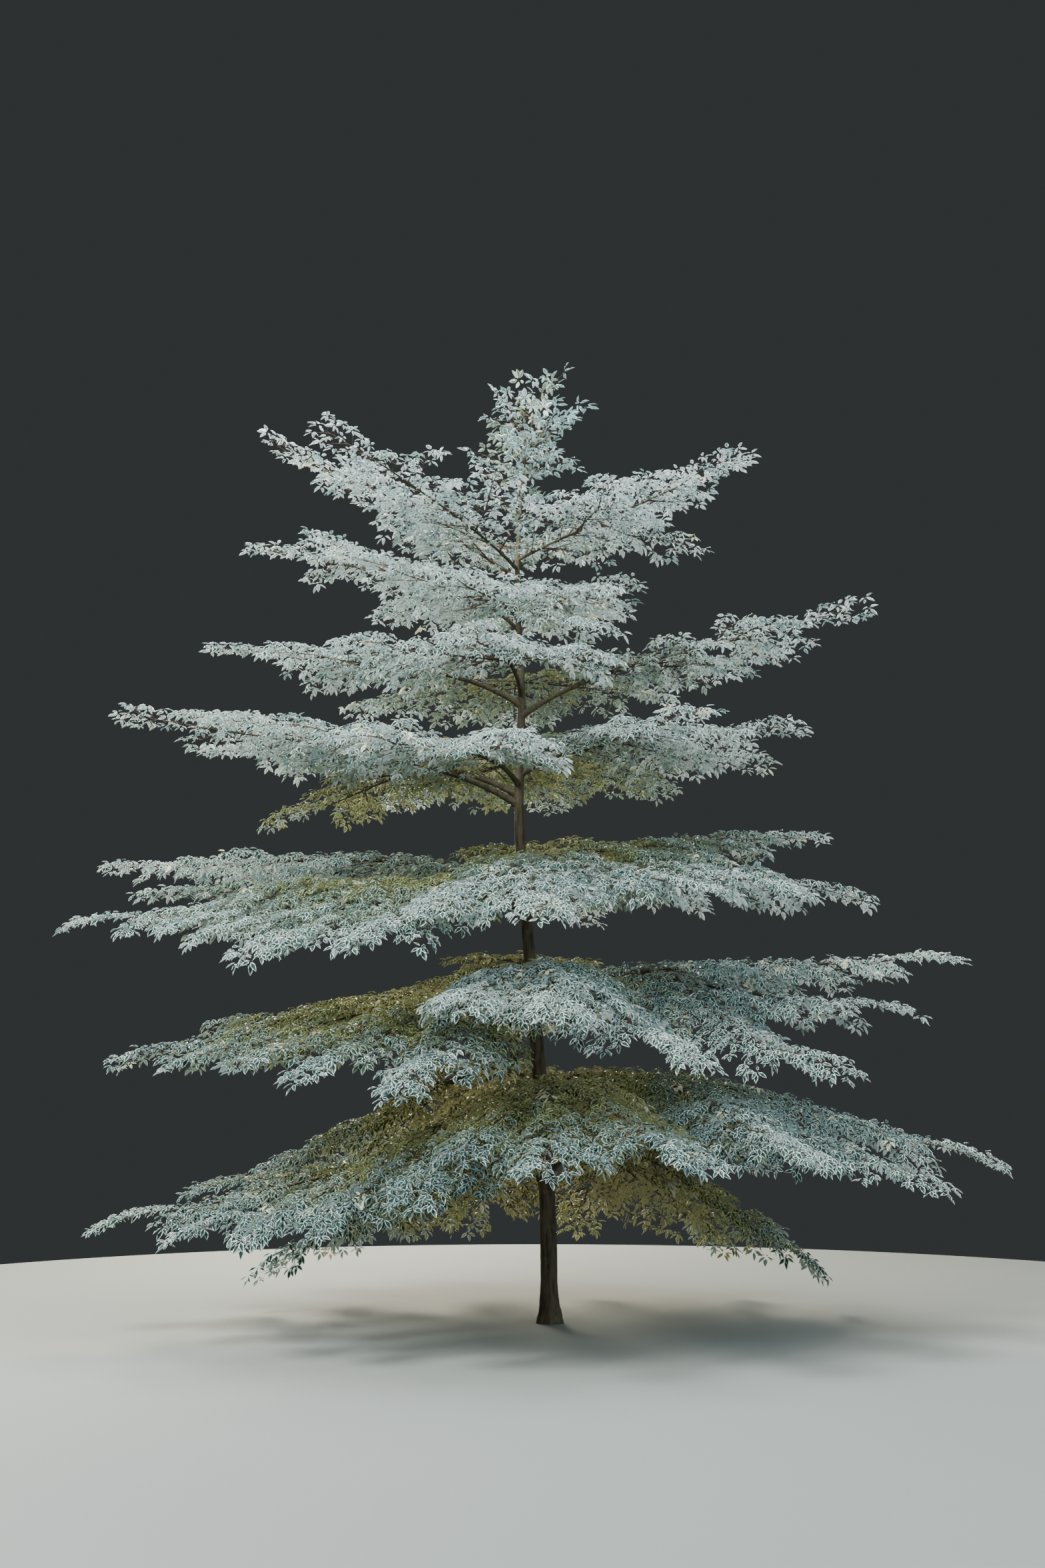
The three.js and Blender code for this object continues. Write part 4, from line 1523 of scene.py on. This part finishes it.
    def make(self, shop: Workshop) -> None:
        """Makes and settles the tier's boughs, limbs, twigs and leaves.

        Args:
            shop: What the sub-assemblies share.
        """
        tier, name = self.tier, f"tier{self.number}"
        boughs, limbs, twigs, sites = [], [], [], []
        bough_nodes, mass_nodes = [], []
        crowd = Crowd(SIZES.spray_gap * tier.openness)
        axis = TRUNK.centre(tier.height * MM)
        for index, bough in enumerate(tier.boughs):
            mass = Mass(Seeded(100 * self.number + index), crowd, axis, bough.reach * MM, tier.droop,
                        tier.shade, tier.frost, bough.warm_shade)
            for limb in self.limbs(bough, index):
                limbs.append(limb.wood())
                mass.dress(limb)
            if bough.bare > 0:
                boughs.append(self.bare_wood(bough, index))
                bough_nodes.append(f"bough_{name}_{bough.side}")
                mass.dress(self.inner_limb(boughs[-1]))
            twigs.extend(mass.twigs)
            sites.extend(mass.sites)
            mass_nodes.append(f"foliage_{name}_{bough.side}")
        if boughs:
            shop.add_wood(f"{name}_boughs", boughs, BOUGH_BARK, self.bough_sides, "bough_bark", bough_nodes,
                          self.bough_ring_step)
        shop.add_wood(f"{name}_limbs", limbs, BOUGH_BARK, self.limb_sides, "foliage", mass_nodes)
        shop.add_wood(f"{name}_twigs", twigs, SHOOT_BARK, self.twig_sides, "foliage", mass_nodes)
        shop.add_leaves(f"{name}_leaves", sites, mass_nodes)


@dataclass
class Leader:
    """The leader: the shoot that goes on from the trunk's tip, its steep side shoots, and leaves all round.

    A side shoot is the point that it aims at and the share of the main shoot at which it leaves. Sizes of
    branchlets are shares of a full one, turns are in radians and tilts in degrees.
    """

    top: Point = (0.0, 0.0, 7.98)
    shoots: tuple[tuple[Point, float], ...] = (
        ((0.32, -0.04, 7.45), 0.4),
        ((-0.46, -0.04, 6.98), 0.16),
        ((0.12, 0.06, 6.92), 0.1),
        ((-0.40, 0.06, 7.60), 0.5),
        ((-0.20, -0.08, 7.46), 0.55),
        ((-0.08, 0.44, 7.3), 0.2),
        ((0.06, -0.42, 7.26), 0.2),
        ((-0.44, 0.16, 6.90), 0.04),
        ((0.06, -0.20, 6.84), 0.04),
        ((-0.16, -0.48, 6.96), 0.07),
    )
    seed: int = 7
    reach: float = 0.6
    # The painted shade by the trunk, the share of sky-lit sprays painted bright-lit, and extra warm painted
    # shade, as for a tier.
    shade: float = 0.25
    frost: float = 0.12
    warm_shade: float = 0.2
    leaf_size: float = 1.15
    spray_gap: float = 0.098
    control_rise: float = 0.45
    top_setback: float = 0.54
    main_points: int = 12
    shoot_points: Point = (0.0, 0.25, 0.5)
    shoot_radii: Span = (0.007, 0.004)
    wood_sides: int = 8
    twig_sides: int = 3
    leaf_turn: float = 2.4
    turn_wobble: float = 0.4
    tip_size: float = 0.58
    main_size: float = 0.42
    main_growth: float = 0.16
    main_branchlets: int = 12
    shoot_branchlets: int = 4
    first_at: float = 0.1
    shoot_span: float = 0.85
    tip_at: float = 0.96
    tip_aim_at: float = 0.99
    branchlet_tilt: float = -24.0
    tilt_wobble: float = 14.0
    shoot_size: float = 0.54
    foot_length: float = 0.45
    foot_branchlets: int = 7
    foot_tilt: float = -36.0
    foot_wobble: float = 10.0
    foot_size: float = 0.48

    def lines(self) -> list[Line]:
        """Lays out the main shoot and its straight side shoots.

        Returns:
            Their lines, the main shoot's first.
        """
        tip = TRUNK.centre(TRUNK.height)
        top = np.array(self.top)
        control = tip + np.array([0, 0, (top[2] - tip[2]) * self.control_rise])
        end = top - np.array([0, 0, SIZES.branchlet_length * self.top_setback])
        main = Line.bent(tip, control, end, self.main_points)
        sides = []
        for goal, fork in self.shoots:
            start = main.at(fork)
            sides.append(Line(start + (np.array(goal) - start) * share for share in self.shoot_points))
        return [main, *sides]

    def dress_shoot(self, mass: Mass, number: int, line: Line) -> None:
        """Grows a shoot's branchlets: one on from its tip, and the rest round it, steeply upwards.

        Args:
            mass: The mass that they belong to.
            number: The shoot's number, 0 for the main one.
            line: The shoot's line.
        """
        aim = self.tip_aim_at
        mass.grow_branchlet(line.at(self.tip_at), line.heading(aim), -line.slope(aim), self.tip_size)
        count = self.shoot_branchlets if number else self.main_branchlets
        for k in range(1, count):
            heading = number + self.leaf_turn * k + mass.draw.wobble(self.turn_wobble)
            tilt = math.radians(self.branchlet_tilt + mass.draw.wobble(self.tilt_wobble))
            size = self.shoot_size if number else self.main_size + self.main_growth * k / count
            mass.grow_branchlet(line.at(self.first_at + self.shoot_span * k / count), heading, tilt, size)

    def make(self, shop: Workshop) -> None:
        """Makes and settles the leader's shoots, twigs and leaves.

        Args:
            shop: What the sub-assemblies share.
        """
        mass = Mass(Seeded(self.seed), Crowd(self.spray_gap), TRUNK.centre(TRUNK.height), self.reach, 0.0,
                    self.shade, self.frost, self.warm_shade, self.leaf_size)
        wood = []
        thick, thin = self.shoot_radii
        for number, line in enumerate(self.lines()):
            wood.append(WoodPath.tapered(line.points, thick if number else TRUNK.tip_radius, thin))
            self.dress_shoot(mass, number, line)
        for k in range(self.foot_branchlets):
            root = TRUNK.centre(TRUNK.height - self.foot_length * k / self.foot_branchlets)
            tilt = math.radians(self.foot_tilt + mass.draw.wobble(self.foot_wobble))
            mass.grow_branchlet(root, self.leaf_turn * k, tilt, self.foot_size)
        nodes = ["foliage_leader"]
        shop.add_wood("leader_shoots", wood, BOUGH_BARK, self.wood_sides, "foliage", nodes)
        shop.add_wood("leader_twigs", mass.twigs, SHOOT_BARK, self.twig_sides, "foliage", nodes)
        shop.add_leaves("leader_leaves", mass.sites, nodes)


@dataclass(frozen=True)
class Lamp:
    """A large, soft lamp: its place, the side of its square face, its power in watts and its colour."""

    name: str
    place: Point
    size: float
    power: float
    colour: Colour
    aim: Point = (0.0, 0.0, 3.5)

    def make(self) -> None:
        """Makes the lamp, turned to the middle of the crown."""
        data = bpy.data.lights.new(self.name, "AREA")
        data.size, data.energy, data.color = self.size, self.power, self.colour
        lamp = bpy.data.objects.new(self.name, data)
        lamp.location = self.place
        lamp.rotation_euler = (Vector(self.aim) - Vector(self.place)).to_track_quat("-Z", "Y").to_euler()
        lamp.visible_camera = False
        bpy.context.scene.collection.objects.link(lamp)


LAMPS = (
    Lamp("key_light", (-7.5, -8.5, 12.2), 4.2, 6000.0, (0.95, 1.0, 0.99)),
    Lamp("top_light", (0.0, -1.0, 15.0), 7.0, 2700.0, (0.88, 0.97, 1.0)),
    Lamp("fill_light", (10.0, -9.0, 6.0), 8.0, 1250.0, (0.70, 0.87, 1.0)),
    Lamp("back_light", (-3.0, 11.0, 8.0), 4.0, 4000.0, (1.0, 0.92, 0.74)),
)


@dataclass
class Studio:
    """The plain floor, the soft lights, the backdrop's tone and the camera at the photograph's angle."""

    camera_place: Point = (-0.207, -12.2, 1.5)
    camera_pitch: float = 12.36
    lens: float = 35.2
    sensor: float = 36.0
    sight: float = 200.0
    floor_radius: float = 7.5
    floor_sides: int = 96
    floor_colour: Colour = (0.20, 0.205, 0.19)
    floor_roughness: float = 0.9
    sky_colour: Colour = (0.68, 0.87, 1.0)
    sky_strength: float = 0.21
    backdrop_colour: Colour = (0.034, 0.038, 0.038)

    def make(self) -> None:
        """Makes the whole studio."""
        self.make_camera()
        self.make_floor()
        self.make_sky()
        for lamp in LAMPS:
            lamp.make()

    def make_camera(self) -> None:
        """Makes the camera and takes it as the scene's own."""
        data = bpy.data.cameras.new("camera")
        data.lens, data.sensor_width, data.sensor_fit = self.lens, self.sensor, "AUTO"
        data.clip_end = self.sight
        camera = bpy.data.objects.new("camera", data)
        camera.location = self.camera_place
        camera.rotation_euler = (math.radians(90 + self.camera_pitch), 0, 0)
        bpy.context.scene.collection.objects.link(camera)
        bpy.context.scene.camera = camera

    def make_floor(self) -> None:
        """Makes the round, plain floor."""
        turns = [2 * math.pi * i / self.floor_sides for i in range(self.floor_sides)]
        radius = self.floor_radius
        rim = [(radius * math.cos(turn), radius * math.sin(turn), 0.0) for turn in turns]
        mesh = bpy.data.meshes.new("floor")
        mesh.from_pydata(rim, [], [range(self.floor_sides)])
        material, bench = start_material("floor_paint", self.floor_colour)
        paint = {"Base Color": (*self.floor_colour, 1.0), "Roughness": self.floor_roughness}
        bench.add("ShaderNodeOutputMaterial", {"Surface": bench.out("ShaderNodeBsdfPrincipled", paint)})
        mesh.materials.append(material)
        floor = bpy.data.objects.new("floor", mesh)
        bpy.context.scene.collection.objects.link(floor)

    def make_sky(self) -> None:
        """Makes the soft light from all round, and the darker tone that stands behind the tree."""
        world = bpy.data.worlds.new("studio")
        bpy.context.scene.world = world
        world.use_nodes = True
        world.node_tree.nodes.clear()
        bench = NodeBench(world.node_tree)
        sky = {"Color": (*self.sky_colour, 1.0), "Strength": self.sky_strength}
        lit = bench.out("ShaderNodeBackground", sky)
        seen = bench.out("ShaderNodeBackground", {"Color": (*self.backdrop_colour, 1.0), "Strength": 1.0})
        by_camera = bench.add("ShaderNodeLightPath").outputs["Is Camera Ray"]
        mixed = bench.out("ShaderNodeMixShader", {0: by_camera, 1: lit, 2: seen})
        bench.add("ShaderNodeOutputWorld", {"Surface": mixed})


def write_sizes() -> None:
    """Updates the view layer."""
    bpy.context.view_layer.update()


def main() -> None:
    """Builds the studio and the tree, and reports each piece."""
    logging.basicConfig(level=logging.INFO, format="%(name)s %(message)s")
    Studio().make()
    shop = Workshop()
    Trunk().make(shop)
    for number, tier in enumerate(TIERS, start=1):
        TierGrowth(number, tier).make(shop)
    Leader().make(shop)
    write_sizes()


if __name__ == "__main__":
    main()
